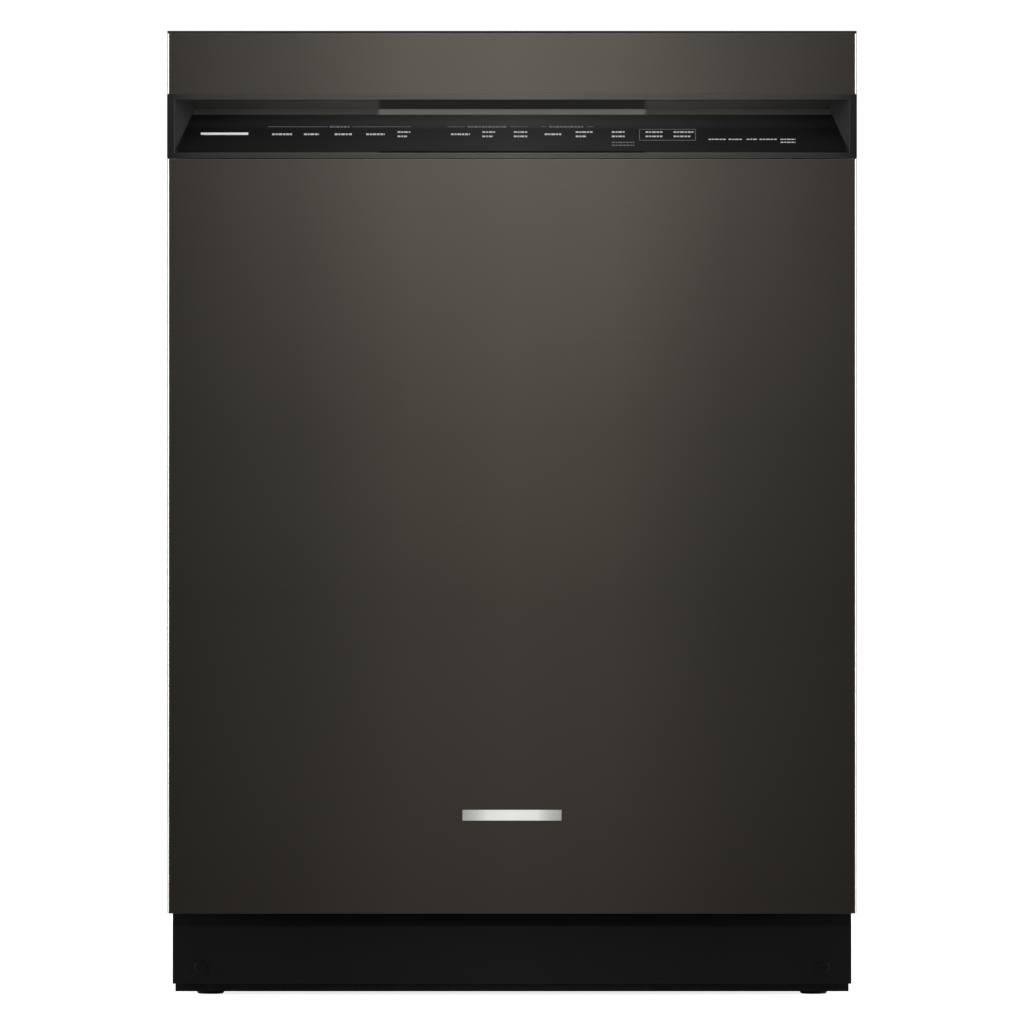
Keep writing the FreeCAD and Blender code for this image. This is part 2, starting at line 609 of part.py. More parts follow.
def build_wash_system():
    """Sump, filters, pumps, heater, valve, junction box, feed tube, sprayers and float."""
    outside = box("sump_out", ("-97", "97"), ("-132", "87"), ("45", "frame_low"))
    inside = box("sump_in", ("-92", "92"), ("-127", "82"), ("50", "frame_low + 1"))
    tower = rod("sump_tower", "z", ("0", "arm_centre"), "18", ("50", "131"))
    spigot = rod("sump_spigot", "z", ("0", "arm_centre"), "spigot_radius", ("131", "145"))
    node("sump_housing", fuse("sump_housing", cut("sump_shell", outside, inside), tower, spigot))

    screen = box("screen", ("-96", "96"), ("-131", "86"), ("floor_low", "floor_low + 1.5"))
    screen_hole = rod("screen_hole", "z", ("0", "filter_centre"), "filter_radius + 0.4", ("floor_low - 1", "floor_low + 3"))
    tower_hole = rod("tower_hole", "z", ("0", "arm_centre"), "18.4", ("floor_low - 1", "floor_low + 3"))
    node("coarse_filter", cut("coarse_filter", screen, screen_hole, tower_hole))

    cup = turned("cup_body", [
        ("0", "60"),
        ("filter_radius - 4", "60"),
        ("filter_radius", "64"),
        ("filter_radius", "floor_low + 1.8"),
        ("filter_radius + 5", "floor_low + 1.8"),
        ("filter_radius + 5", "floor_low + 4"),
        ("0", "floor_low + 4"),
    ], "0", "filter_centre")
    grip = box("cup_grip", ("-20", "20"), ("filter_centre - 4", "filter_centre + 4"), ("floor_low + 4", "floor_low + 12"))
    node("filter_cup", fuse("filter_cup", cup, grip))

    node("lower_spray_arm", spray_arm("lower_spray_arm", "arm_centre", "131.4", "150", "arm_reach", ("130", "146")))
    motor = rod("motor", "y", ("40", "78"), "32", ("88", "200"))
    volute = rod("volute", "y", ("40", "78"), "26", ("200", "222"))
    node("wash_pump", fuse("wash_pump", motor, volute))
    drain_body = rod("drain_body", "x", ("20", "75"), "22", ("-165", "-98"))
    shoulder = rod("drain_shoulder", "y", ("-145", "75"), "13", ("20", "44"))
    barb = rod("drain_barb", "y", ("-145", "75"), "9.5", ("44", "70"))
    node("drain_pump", fuse("drain_pump", drain_body, shoulder, barb))

    ring = doc.addObject("Part::Torus", "heater_ring")
    ring.Radius1 = 185
    ring.Radius2 = 3.5
    ring.setExpression("Placement.Base.y", cells("arm_centre"))
    ring.setExpression("Placement.Base.z", cells("floor_low + 6"))
    legs = [rod(f"heater_leg_{side}", "z", (f"{side}", "arm_centre + 184"), "3.5", ("floor_low + 0.2", "floor_low + 6"))
            for side in (-15, 15)]
    node("heating_element", fuse("heating_element", ring, *legs))

    valve = box("valve_body", ("-230", "-186"), ("-160", "-112"), ("40", "90"))
    inlet = rod("valve_inlet", "y", ("-208", "77"), "9.5", ("-182", "-160"))
    node("water_inlet_valve", fuse("water_inlet_valve", valve, inlet))

    can = box("can_out", ("160", "236"), ("-180", "-110"), ("34", "94"))
    can_hollow = box("can_in", ("161.5", "234.5"), ("-181", "-111.5"), ("35.5", "92.5"))
    knockout = rod("knockout", "y", ("198", "64"), "11.1", ("-112", "-109"))
    node("junction_box", cut("junction_box", can, can_hollow, knockout))
    node("junction_box_cover", box("junction_box_cover", ("158", "238"), ("-181.5", "-180"), ("32.5", "95.5")))

    riser = rod("feed_riser", "z", ("0", "tube_back"), "tube_radius", ("frame_low", "818"))
    ceiling = rod("feed_ceiling", "y", ("0", "818"), "tube_radius", ("arm_centre", "tube_back"))
    dock = rod("feed_dock", "y", ("0", "502"), "12", ("244", "tube_back"))
    dock_bore = rod("feed_dock_bore", "y", ("0", "502"), "8", ("243", "262"))
    node("spray_feed_tube", cut("spray_feed_tube", fuse("feed_body", riser, ceiling, dock), dock_bore))
    node("top_sprayer", turned("top_sprayer", [
        ("0", "796"),
        ("34", "796"),
        ("38", "800"),
        ("14", "807.8"),
        ("0", "807.8"),
    ], "0", "arm_centre"))
    node("overfill_float", turned("overfill_float", [
        ("0", "floor_low + 0.3"),
        ("15", "floor_low + 0.3"),
        ("15", "floor_low + 12"),
        ("11", "floor_low + 17"),
        ("0", "floor_low + 17"),
    ], "-205", "-175"))


# ---------------------------------------------------------------- racks

def wire(start, end, radius):
    """One straight round wire between two points."""
    run = Vector(*end) - Vector(*start)
    return Part.makeCylinder(radius, run.Length, Vector(*start), run)


def spread(low, high, count):
    """Evenly spaced numbers from low to high, both included."""
    return [low + (high - low) * index / (count - 1) for index in range(count)]


def basket(half, front, back, low, top, wires_across, wires_along):
    """Hoops across and along a basket, with a thicker rim, as separate straight wires."""
    radius = sheet.wire
    solids = []
    for level, thick in ((top, radius + 0.7), ((low + top) / 2, radius), (low, radius)):
        solids += [wire((-half, y, level), (half, y, level), thick) for y in (front, back)]
        solids += [wire((x, front, level), (x, back, level), thick) for x in (-half, half)]
    for y in spread(front, back, wires_across)[1:-1]:
        solids.append(wire((-half, y, low), (half, y, low), radius))
        solids += [wire((x, y, low), (x, y, top), radius) for x in (-half, half)]
    for x in spread(-half, half, wires_along):
        solids.append(wire((x, front, low), (x, back, low), radius))
        solids += [wire((x, y, low), (x, y, top), radius) for y in (front, back)]
    return solids


def tines(xs, ys, low, top):
    """Upright fingers that hold plates and cups."""
    return [wire((x, y, low), (x, y, top), sheet.wire - 0.5) for x in xs for y in ys]


def channel(name, inner_x, outer_x, low, high, wall):
    """A right-hand slide rail: a C section that opens inwards, with its wall on the outer side."""
    outside = box(name + "_out", (inner_x, outer_x), ("slide_front", "slide_back"), (low, high))
    inside = box(name + "_in", (f"{inner_x} - 1", f"{outer_x} - {wall}"), ("slide_front - 1", "slide_back + 1"),
                 (f"{low} + {wall}", f"{high} - {wall}"))
    return cut(name, outside, inside)


def build_racks():
    """Upper rack on telescopic rails with its spray arm, lower rack on wheels, silverware basket."""
    node("outer_rails", pair("outer_rails", channel("outer_rail", "262", "tub_half", "rail_low", "rail_top", "2")))
    node("mid_rails", pair("mid_rails", channel("mid_rail", "262.6", "269.6", "rail_low + 2.4", "rail_top - 2.4", "1.6")))
    runner = box("runner", ("upper_half + 4", "267.6"), ("slide_front", "slide_back"), ("rail_low + 4.4", "rail_top - 4.4"))
    node("rack_rails", pair("rack_rails", runner))

    upper = basket(sheet.upper_half, sheet.rack_front, sheet.rack_back, sheet.upper_low, sheet.upper_top, 12, 9)
    upper += tines((-122, 122), spread(-180, 190, 9), sheet.upper_low, sheet.upper_low + 60)
    node("upper_rack", solid_feature("upper_rack", upper))
    pipe = rod("manifold_pipe", "y", ("0", "502"), "9", ("-14", "241"))
    boss = rod("manifold_boss", "z", ("0", "0"), "20", ("492.6", "505"))
    spigot = rod("manifold_spigot", "z", ("0", "0"), "spigot_radius", ("478", "492.6"))
    node("rack_feed_pipe", fuse("rack_feed_pipe", pipe, boss, spigot))
    node("middle_spray_arm", spray_arm("middle_spray_arm", "0", "474", "492", "mid_reach", ("477", "493")))

    lower = basket(sheet.lower_half, sheet.rack_front, sheet.rack_back, sheet.lower_low, sheet.lower_top, 12, 9)
    lower += tines((-180, -90, 0, 90), spread(-180, 190, 9), sheet.lower_low, sheet.lower_low + 85)
    node("lower_rack", solid_feature("lower_rack", lower))

    wheels = []
    for along in ("-150", "185"):
        tag = along.strip("-")
        tread = rod(f"wheel_{tag}", "x", (along, "wheel_low + wheel_radius"), "wheel_radius", ("257", "268"))
        stub = rod(f"wheel_stub_{tag}", "x", (along, "wheel_low + wheel_radius"), "4", ("lower_half + 3", "257"))
        plate = box(f"wheel_plate_{tag}", ("lower_half + 2.6", "lower_half + 5.6"), (f"{along} - 12", f"{along} + 12"),
                    ("wheel_low + 8", "lower_low + 30"))
        wheels.append(fuse(f"wheel_set_{tag}", tread, stub, plate))
    right_wheels = group("right_wheels", *wheels)
    node("lower_rack_wheels", pair("lower_rack_wheels", right_wheels))

    outside = box("basket_out", ("166", "242"), ("-190", "122"), ("lower_low + 3.5", "290"))
    cell_count = 4
    cell_cuts = []
    for index in range(cell_count):
        low_y = f"-187.5 + {index} * 77.25"
        cell_cuts.append(box(f"cell_{index}", ("168.5", "239.5"), (low_y, f"{low_y} + 75.25"), ("lower_low + 6", "291")))
    node("silverware_basket", cut("silverware_basket", outside, *cell_cuts))


def write_parts():
    """Recomputes, checks every object and shape, and writes one STEP file for each node."""
    doc.recompute()
    failed = [obj.Name for obj in doc.Objects if "Invalid" in obj.State or "Error" in obj.State]
    if failed:
        raise RuntimeError(f"objects that failed: {failed}")
    for obj in NODES:
        if obj.Shape.isNull() or not obj.Shape.isValid():
            raise RuntimeError(f"{obj.Label} has no valid shape")
    os.makedirs("parts", exist_ok=True)
    for obj in NODES:
        obj.Shape.exportStep(f"parts/{obj.Label}.step")
    print(f"{len(NODES)} nodes")


build_tub()
build_base()
build_hinges()
build_outer_door()
build_console()
build_inner_door()
build_wash_system()
build_racks()
write_parts()
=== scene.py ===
"""Built-in dishwasher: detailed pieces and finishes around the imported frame, in metres."""
import json
import logging
import math
from dataclasses import dataclass
from enum import Enum
from typing import Iterable, Sequence

import bmesh
import bpy
from mathutils import Matrix, Vector, noise

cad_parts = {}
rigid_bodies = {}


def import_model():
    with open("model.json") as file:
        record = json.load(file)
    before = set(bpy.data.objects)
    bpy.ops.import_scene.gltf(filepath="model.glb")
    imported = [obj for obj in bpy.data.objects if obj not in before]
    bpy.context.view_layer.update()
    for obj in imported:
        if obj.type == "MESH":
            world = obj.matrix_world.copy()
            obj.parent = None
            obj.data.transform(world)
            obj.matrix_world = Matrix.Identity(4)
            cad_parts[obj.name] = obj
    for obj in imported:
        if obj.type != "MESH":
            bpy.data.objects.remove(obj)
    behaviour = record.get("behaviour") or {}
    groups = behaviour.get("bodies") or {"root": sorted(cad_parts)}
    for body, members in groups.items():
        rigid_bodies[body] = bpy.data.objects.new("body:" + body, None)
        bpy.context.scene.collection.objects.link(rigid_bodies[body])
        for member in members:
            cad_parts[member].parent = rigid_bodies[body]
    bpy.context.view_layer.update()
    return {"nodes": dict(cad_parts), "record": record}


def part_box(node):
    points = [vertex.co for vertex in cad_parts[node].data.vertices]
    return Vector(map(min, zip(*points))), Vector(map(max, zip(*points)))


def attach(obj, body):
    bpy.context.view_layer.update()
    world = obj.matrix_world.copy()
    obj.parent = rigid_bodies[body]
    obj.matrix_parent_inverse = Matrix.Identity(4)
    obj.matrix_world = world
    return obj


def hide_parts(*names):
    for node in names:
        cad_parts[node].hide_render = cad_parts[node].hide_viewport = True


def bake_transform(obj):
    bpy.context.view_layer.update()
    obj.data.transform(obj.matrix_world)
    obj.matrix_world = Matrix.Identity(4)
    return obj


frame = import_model()
LOG = logging.getLogger("dishwasher")

MM = 0.001
HEIGHT = 0.851  # the machine's, in metres
NOISE_LOW, NOISE_HIGH = 0.3, 0.7  # nearly all of a noise texture's values lie between these
PLAIN = (1.0, 1.0, 1.0)  # a noise scale with no stretch
Colour = tuple[float, float, float]
Point = tuple[float, float, float]


# ---------------------------------------------------------------- finishes


class Grain(Enum):
    """The direction that a brushed or drawn surface's lines run in."""

    ACROSS = (3.0, 3.0, 900.0)
    UPRIGHT = (900.0, 900.0, 3.0)
    DEEP = (900.0, 3.0, 900.0)


class NodeGraph:
    """Adds and links the nodes of one tree."""

    def __init__(self, tree: bpy.types.NodeTree) -> None:
        """Takes the tree that is to be filled.

        Args:
            tree: A shader or geometry tree.
        """
        self.tree = tree

    def add(self, kind: str, **values: object) -> bpy.types.Node:
        """Adds a node, sets its settings and fills its inputs.

        Args:
            kind: The node's type name.
            **values: Settings in small letters first, then values or sockets by input name, with
                underscores for spaces.

        Returns:
            The new node.
        """
        made = self.tree.nodes.new(kind)
        for name, value in values.items():
            if name[0].islower():
                setattr(made, name, value)
            else:
                self.feed(made.inputs[name.replace("_", " ")], value)
        return made

    def feed(self, socket: bpy.types.NodeSocket, value: object) -> None:
        """Links a socket to an input, or sets the input to a plain value.

        Args:
            socket: The input socket.
            value: An output socket, a number or a tuple.
        """
        if isinstance(value, bpy.types.NodeSocket):
            self.tree.links.new(value, socket)
        else:
            socket.default_value = value


class Graph(NodeGraph):
    """The nodes of one surface material."""

    def __init__(self, name: str) -> None:
        """Starts an empty node material.

        Args:
            name: The material's name.
        """
        self.material = bpy.data.materials.new(name)
        self.material.use_nodes = True
        super().__init__(self.material.node_tree)
        self.tree.nodes.clear()
        self.shader = self.add("ShaderNodeBsdfPrincipled")
        self.add("ShaderNodeOutputMaterial", Surface=self.shader.outputs["BSDF"])
        self.coordinates = self.add("ShaderNodeTexCoord").outputs["Object"]

    def maths(self, operation: str, *values: object) -> bpy.types.NodeSocket:
        """Combines values by a math operation.

        Args:
            operation: ADD, MULTIPLY, MULTIPLY_ADD or ABSOLUTE.
            *values: Outputs or numbers, in the operation's order.

        Returns:
            The value output.
        """
        made = self.add("ShaderNodeMath", operation=operation)
        for socket, value in zip(made.inputs, values):
            self.feed(socket, value)
        return made.outputs["Value"]

    def noise(self, scale: Point, size: float, detail: float = 3.0) -> bpy.types.NodeSocket:
        """Noise on object coordinates, stretched by a scale.

        Args:
            scale: How much the pattern is squeezed along each axis.
            size: The noise scale.
            detail: Noise octaves.

        Returns:
            The factor output.
        """
        mapping = self.add("ShaderNodeMapping", Vector=self.coordinates, Scale=scale)
        made = self.add("ShaderNodeTexNoise", Vector=mapping.outputs["Vector"], Scale=size, Detail=detail)
        return made.outputs["Fac"]

    def spread(self, factor: bpy.types.NodeSocket, low: float, high: float) -> bpy.types.NodeSocket:
        """Maps a noise factor's usual span on to a range.

        Args:
            factor: The noise output.
            low: The value at the span's start.
            high: The value at its end.

        Returns:
            The mapped output.
        """
        made = self.add("ShaderNodeMapRange", Value=factor, From_Min=NOISE_LOW, From_Max=NOISE_HIGH,
                        To_Min=low, To_Max=high)
        return made.outputs["Result"]

    def blend(self, factor: bpy.types.NodeSocket, first: Colour, second: Colour) -> bpy.types.NodeSocket:
        """Mixes two colours by a noise factor.

        Args:
            factor: The noise output.
            first: The colour at the span's start.
            second: The colour at its end.

        Returns:
            The colour output.
        """
        ramp = self.add("ShaderNodeValToRGB", Fac=factor)
        for element, place, colour in zip(ramp.color_ramp.elements, (NOISE_LOW, NOISE_HIGH), (first, second)):
            element.position = place
            element.color = (*colour, 1.0)
        return ramp.outputs["Color"]

    def bump(self, height: bpy.types.NodeSocket, strength: float, distance: float) -> None:
        """Gives the surface a fine relief.

        Args:
            height: The height output.
            strength: The bump strength.
            distance: The relief's height in metres.
        """
        made = self.add("ShaderNodeBump", Height=height, Strength=strength, Distance=distance)
        self.feed(self.shader.inputs["Normal"], made.outputs["Normal"])

    def set(self, **inputs: object) -> None:
        """Fills the shader's own inputs, with underscores for spaces."""
        for name, value in inputs.items():
            self.feed(self.shader.inputs[name.replace("_", " ")], value)


@dataclass(frozen=True)
class BrushedMetal:
    """Sheet metal with fine lines along one direction and faint cloudy smears."""

    name: str
    light: Colour
    dark: Colour
    rough: tuple[float, float] = (0.3, 0.42)
    grain: Grain = Grain.ACROSS
    relief: float = 0.15
    anisotropy: float = 0.35

    def build(self) -> bpy.types.Material:
        """Builds the node material."""
        graph = Graph(self.name)
        lines = graph.noise(self.grain.value, 2.0, 4.0)
        clouds = graph.noise(PLAIN, 5.0, 2.0)
        graph.set(
            Base_Color=graph.blend(lines, self.dark, self.light),
            Metallic=1.0,
            Anisotropic=self.anisotropy,
        )
        graph.set(Roughness=graph.maths("ADD", graph.spread(lines, *self.rough), graph.spread(clouds, -0.02, 0.02)))
        graph.bump(lines, self.relief, 0.00005)
        return graph.material


def plain(colour: Colour) -> tuple[tuple[float, Colour], ...]:
    """Tones of a coat that is the same at every height.

    Args:
        colour: The coat's colour.

    Returns:
        The colour at the floor and at the top.
    """
    return ((0.0, colour), (HEIGHT, colour))


@dataclass(frozen=True)
class PaintedLightCoat:
    """A coat with painted light: its tone changes with height, a painted reflection of the kind a satin surface shows
    in a room, and it deepens towards both sides as painted shade.

    Heights and distances across are in metres. edge is the tone of a painted highlight along the folded edge, where
    there is one, and it shows over edge_insets from the side and edge_depths along Y. evenness is how much of the
    sides' painted shade holds at the two heights of evenness_span.
    """

    name: str
    tones: tuple[tuple[float, Colour], ...]
    sides: tuple[tuple[float, float], ...]
    rough: tuple[float, float] = (0.34, 0.38)
    metallic: float = 1.0
    streak: float = 0.04
    relief: float = 0.1
    edge: Colour | None = None
    evenness: tuple[float, float] = (1.0, 1.0)
    specular: float = 0.5
    tallest: float = HEIGHT
    widest: float = 0.3032
    evenness_span: tuple[float, float] = (0.08, 0.8)
    edge_insets: tuple[float, float] = (1.7 * MM, 1.2 * MM)
    edge_depths: tuple[float, float] = (-0.3072, -0.3078)

    def ramp(self, graph: Graph, factor: bpy.types.NodeSocket, stops: Sequence[tuple[float, Colour]],
             full: float) -> bpy.types.NodeSocket:
        """A colour ramp over a distance.

        Args:
            graph: The material's graph.
            factor: The distance output, in metres.
            stops: Distances and colours.
            full: The distance at the ramp's end.

        Returns:
            The colour output.
        """
        share = graph.add("ShaderNodeMapRange", Value=factor, From_Min=0.0, From_Max=full)
        made = graph.add("ShaderNodeValToRGB", Fac=share.outputs["Result"])
        elements = made.color_ramp.elements
        while len(elements) < len(stops):
            elements.new(0.5)
        for element, (place, _colour) in zip(elements, stops):
            element.position = min(max(place / full, 0.0), 1.0)
        for element, (_place, colour) in zip(elements, stops):
            element.color = (*colour, 1.0)
        return made.outputs["Color"]

    def mix(self, graph: Graph, kind: str, factor: object, first: object, second: object) -> bpy.types.NodeSocket:
        """Mixes two colours.

        Args:
            graph: The material's graph.
            kind: The blend type.
            factor: An output or a number.
            first: A colour output or a colour.
            second: A colour output or a colour.

        Returns:
            The colour output.
        """
        made = graph.add("ShaderNodeMix", data_type="RGBA", blend_type=kind, Factor=factor)
        for socket, value in zip((s for s in made.inputs if s.type == "RGBA"), (first, second)):
            graph.feed(socket, (*value, 1.0) if isinstance(value, tuple) else value)
        return next(s for s in made.outputs if s.type == "RGBA")

    def band(self, graph: Graph, value: bpy.types.NodeSocket, start: float, end: float) -> bpy.types.NodeSocket:
        """A factor that is 0 at start and 1 at end."""
        return graph.add("ShaderNodeMapRange", Value=value, From_Min=start, From_Max=end).outputs["Result"]

    def build(self) -> bpy.types.Material:
        """Builds the node material."""
        graph = Graph(self.name)
        lines = graph.noise(Grain.ACROSS.value, 2.2, 5.0)
        clouds = graph.noise((1.0, 1.0, 0.6), 3.0, 2.0)
        axes = graph.add("ShaderNodeSeparateXYZ", Vector=graph.coordinates).outputs
        aside = graph.maths("ABSOLUTE", axes["X"])
        # Painted reflection and shade: the tone by height.
        tone = self.ramp(graph, axes["Z"], self.tones, self.tallest)
        # Painted shade towards both sides.
        greys = [(place, (share,) * 3) for place, share in self.sides]
        painted_side_shade = self.ramp(graph, aside, greys, self.widest)
        low_keep, high_keep = self.evenness
        start, end = self.evenness_span
        keep = graph.add("ShaderNodeMapRange", Value=axes["Z"], From_Min=start, From_Max=end, To_Min=low_keep,
                         To_Max=high_keep)
        tone = self.mix(graph, "MULTIPLY", keep.outputs["Result"], tone, painted_side_shade)
        # Painted highlight along the folded edge.
        if self.edge is not None:
            across = self.band(graph, aside, *(self.widest - inset for inset in self.edge_insets))
            forward = self.band(graph, axes["Y"], *self.edge_depths)
            tone = self.mix(graph, "MIX", graph.maths("MULTIPLY", across, forward), tone, self.edge)
        shade_lines = graph.add("ShaderNodeHueSaturation", Color=tone,
                                Value=graph.spread(lines, 1.0 - self.streak, 1.0 + self.streak))
        graph.set(Base_Color=shade_lines.outputs["Color"], Metallic=self.metallic, Anisotropic=0.4 * self.metallic,
                  Roughness=graph.spread(clouds, *self.rough), Specular_IOR_Level=self.specular)
        graph.bump(lines, self.relief, 0.00004)
        return graph.material


@dataclass(frozen=True)
class Moulded:
    """Moulded plastic or paint: a fine texture, slight colour drift and its own gloss."""

    name: str
    light: Colour
    dark: Colour
    rough: tuple[float, float] = (0.45, 0.6)
    texture: float = 900.0
    relief: float = 0.2
    metallic: float = 0.0
    coat: float = 0.0

    def build(self) -> bpy.types.Material:
        """Builds the node material."""
        graph = Graph(self.name)
        texture = graph.noise(PLAIN, self.texture, 2.0)
        drift = graph.noise(PLAIN, 14.0, 4.0)
        graph.set(
            Base_Color=graph.blend(drift, self.dark, self.light),
            Roughness=graph.spread(drift, *self.rough),
            Metallic=self.metallic,
            Coat_Weight=self.coat,
            Coat_Roughness=0.12,
        )
        graph.bump(texture, self.relief, 0.0001)
        return graph.material


@dataclass(frozen=True)
class ZincPlate:
    """Hot-dipped zinc with its spangle of grey crystals."""

    name: str
    light: Colour
    dark: Colour

    def build(self) -> bpy.types.Material:
        """Builds the node material."""
        graph = Graph(self.name)
        cells = graph.add("ShaderNodeTexVoronoi", Vector=graph.coordinates, Scale=150.0)
        grey = graph.add("ShaderNodeSeparateColor", Color=cells.outputs["Color"]).outputs["Red"]
        dull = graph.noise(PLAIN, 30.0, 5.0)
        graph.set(
            Base_Color=graph.blend(grey, self.dark, self.light),
            Metallic=0.9,
            Roughness=graph.spread(dull, 0.35, 0.6),
        )
        graph.bump(dull, 0.15, 0.0001)
        return graph.material


@dataclass(frozen=True)
class Felt:
    """Needled fibre felt: matted fibres, lint specks and a soft sheen."""

    name: str
    light: Colour
    dark: Colour

    def build(self) -> bpy.types.Material:
        """Builds the node material."""
        graph = Graph(self.name)
        fibres = graph.noise(PLAIN, 420.0, 8.0)
        lint = graph.noise(PLAIN, 60.0, 6.0)
        mixed = graph.maths("MULTIPLY_ADD", lint, 0.5, graph.maths("MULTIPLY", fibres, 0.5))
        graph.set(
            Base_Color=graph.blend(mixed, self.dark, self.light),
            Roughness=graph.spread(lint, 0.85, 0.98),
            Sheen_Weight=0.35,
            Sheen_Roughness=0.5,
        )
        graph.bump(fibres, 0.8, 0.0008)
        return graph.material


@dataclass(frozen=True)
class FineMesh:
    """Pressed metal gauze: a tight over-and-under weave of two wave patterns."""

    name: str
    light: Colour
    dark: Colour
    pitch: float = 0.0012

    def build(self) -> bpy.types.Material:
        """Builds the node material."""
        graph = Graph(self.name)
        waves = [graph.add("ShaderNodeTexWave", bands_direction=direction, Vector=graph.coordinates,
                           Scale=0.3 / self.pitch).outputs["Fac"] for direction in ("X", "Z")]
        weave = graph.maths("MULTIPLY", *waves)
        graph.set(
            Base_Color=graph.blend(weave, self.dark, self.light),
            Metallic=0.8,
            Roughness=graph.spread(weave, 0.5, 0.3),
        )
        graph.bump(weave, 0.7, 0.0003)
        return graph.material


# Painted reflection on the door coat: its tone at its foot, its middle and its top, lighter higher up, where a satin
# coat mirrors more of the room.
DOOR_PAINTED_REFLECTION: tuple[tuple[float, Colour], ...] = (
    (0.09, (0.068, 0.06, 0.054)),
    (0.35, (0.12, 0.109, 0.093)),
    (0.5, (0.18, 0.164, 0.141)),
    (0.72, (0.322, 0.291, 0.254)),
    (0.84, (0.348, 0.315, 0.275)),
)


class Palette:
    """Every finish of the machine, built once."""

    def __init__(self) -> None:
        """Builds the materials."""
        finishes = (
            # Door coat: painted reflection by height, painted shade towards the sides and a painted highlight on the
            # folded edges.
            PaintedLightCoat("dark_coated_steel", DOOR_PAINTED_REFLECTION, ((0.0, 1.0), (0.09, 0.9), (0.19, 0.56), (0.3, 0.33)),
                      edge=(0.85, 0.85, 0.83), evenness=(0.74, 1.0)),
            # Console frame: painted light, lighter towards the top, and painted shade towards the sides.
            PaintedLightCoat("console_paint", ((0.74, (0.2, 0.195, 0.182)), (0.79, (0.25, 0.244, 0.23))),
                      ((0.0, 1.0), (0.09, 0.8), (0.19, 0.52), (0.28, 0.3), (0.3, 0.15)), (0.3, 0.36), 0.8, 0.01),
            # Ledge: near-white painted highlight over the slot's width, painted shade outside it.
            PaintedLightCoat("ledge_painted_light", plain((0.95, 0.91, 0.82)),
                      ((0.0, 1.0), (0.116, 0.95), (0.119, 0.3), (0.3, 0.2)), (0.4, 0.5), 0.0, 0.01),
            PaintedLightCoat("recess_shade", plain((0.09, 0.085, 0.074)),
                      ((0.0, 0.25), (0.116, 0.25), (0.119, 1.0), (0.3, 0.1)), (0.5, 0.6), 0.0, 0.01),
            # Touch surface: painted light, brighter towards its top against the lip's shadow, and painted shade towards
            # the sides.
            PaintedLightCoat("touch_panel", ((0.765, (0.03, 0.03, 0.031)), (0.778, (0.115, 0.115, 0.117))),
                      ((0.0, 1.0), (0.19, 0.33), (0.3, 0.1)), (0.3, 0.36), 0.0, 0.01, 0.02, specular=0.15),
            # Black coat with painted shade towards the sides.
            PaintedLightCoat("toe_coat", plain((0.013, 0.013, 0.013)),
                      ((0.0, 1.0), (0.1, 0.8), (0.25, 0.32), (0.3, 0.25)), (0.55, 0.65), 0.0, 0.02, 0.05,
                      specular=0.15),
            # Near-black painted shadow of the door on the toe panel's shoulder.
            PaintedLightCoat("shoulder_shade", plain((0.001, 0.001, 0.001)),
                      ((0.0, 1.0), (0.3, 0.25)), (0.55, 0.65), 0.0, 0.02, 0.05, specular=0.15),
            # Badge: white painted highlight in the middle, darker towards the ends.
            PaintedLightCoat("badge_metal", plain((0.97, 0.97, 0.95)),
                      ((0.0, 1.0), (0.022, 0.92), (0.032, 0.62), (0.05, 0.32)), (0.3, 0.4), 0.0, 0.02),
            Moulded("print_bright", (0.9, 0.9, 0.9), (0.8, 0.8, 0.8), (0.4, 0.5), 2000.0, 0.05),
            Moulded("print_grey", (0.62, 0.62, 0.6), (0.5, 0.5, 0.49), (0.4, 0.5), 2000.0, 0.05),
            Moulded("print_dim", (0.2, 0.2, 0.195), (0.16, 0.16, 0.16), (0.4, 0.5), 2000.0, 0.05),
            Moulded("black_plastic", (0.011, 0.011, 0.011), (0.007, 0.007, 0.0075), (0.5, 0.6), 700.0, 0.25),
            BrushedMetal("tub_steel", (0.86, 0.86, 0.85), (0.74, 0.74, 0.73), (0.26, 0.38), Grain.UPRIGHT, 0.1, 0.3),
            BrushedMetal("drawn_steel", (0.6, 0.6, 0.59), (0.42, 0.42, 0.41), (0.25, 0.38), Grain.DEEP),
            FineMesh("filter_gauze", (0.6, 0.6, 0.58), (0.16, 0.16, 0.16)),
            ZincPlate("zinc_plate", (0.66, 0.67, 0.69), (0.54, 0.55, 0.57)),
            BrushedMetal("plated_steel", (0.72, 0.72, 0.7), (0.56, 0.56, 0.55), (0.18, 0.3), Grain.ACROSS, 0.1, 0.0),
            Moulded("grey_plastic", (0.34, 0.35, 0.37), (0.28, 0.29, 0.31), (0.4, 0.52), 800.0, 0.2),
            Moulded("light_plastic", (0.74, 0.74, 0.72), (0.66, 0.66, 0.64), (0.38, 0.5), 800.0, 0.15),
            Moulded("blue_plastic", (0.06, 0.17, 0.42), (0.05, 0.13, 0.35), (0.35, 0.45), 800.0, 0.15),
            Moulded("motor_enamel", (0.05, 0.05, 0.055), (0.035, 0.035, 0.04), (0.3, 0.42), 300.0, 0.25, 0.2),
            Moulded("vinyl_coat", (0.38, 0.39, 0.41), (0.33, 0.34, 0.36), (0.3, 0.42), 500.0, 0.12, 0.0, 0.25),
            Moulded("seal_rubber", (0.05, 0.05, 0.05), (0.035, 0.035, 0.036), (0.6, 0.75), 600.0, 0.3),
            Felt("needled_felt", (0.17, 0.17, 0.175), (0.06, 0.06, 0.063)),
        )
        self.materials = {finish.name: finish.build() for finish in finishes}

    def __getitem__(self, name: str) -> bpy.types.Material:
        """The material of that name."""
        return self.materials[name]


# ---------------------------------------------------------------- meshes


def placed(name: str, data: bpy.types.ID) -> bpy.types.Object:
    """Makes an object and links it to the scene.

    Args:
        name: The object's name.
        data: Its mesh, lamp or camera.

    Returns:
        The object.
    """
    made = bpy.data.objects.new(name, data)
    bpy.context.scene.collection.objects.link(made)
    return made


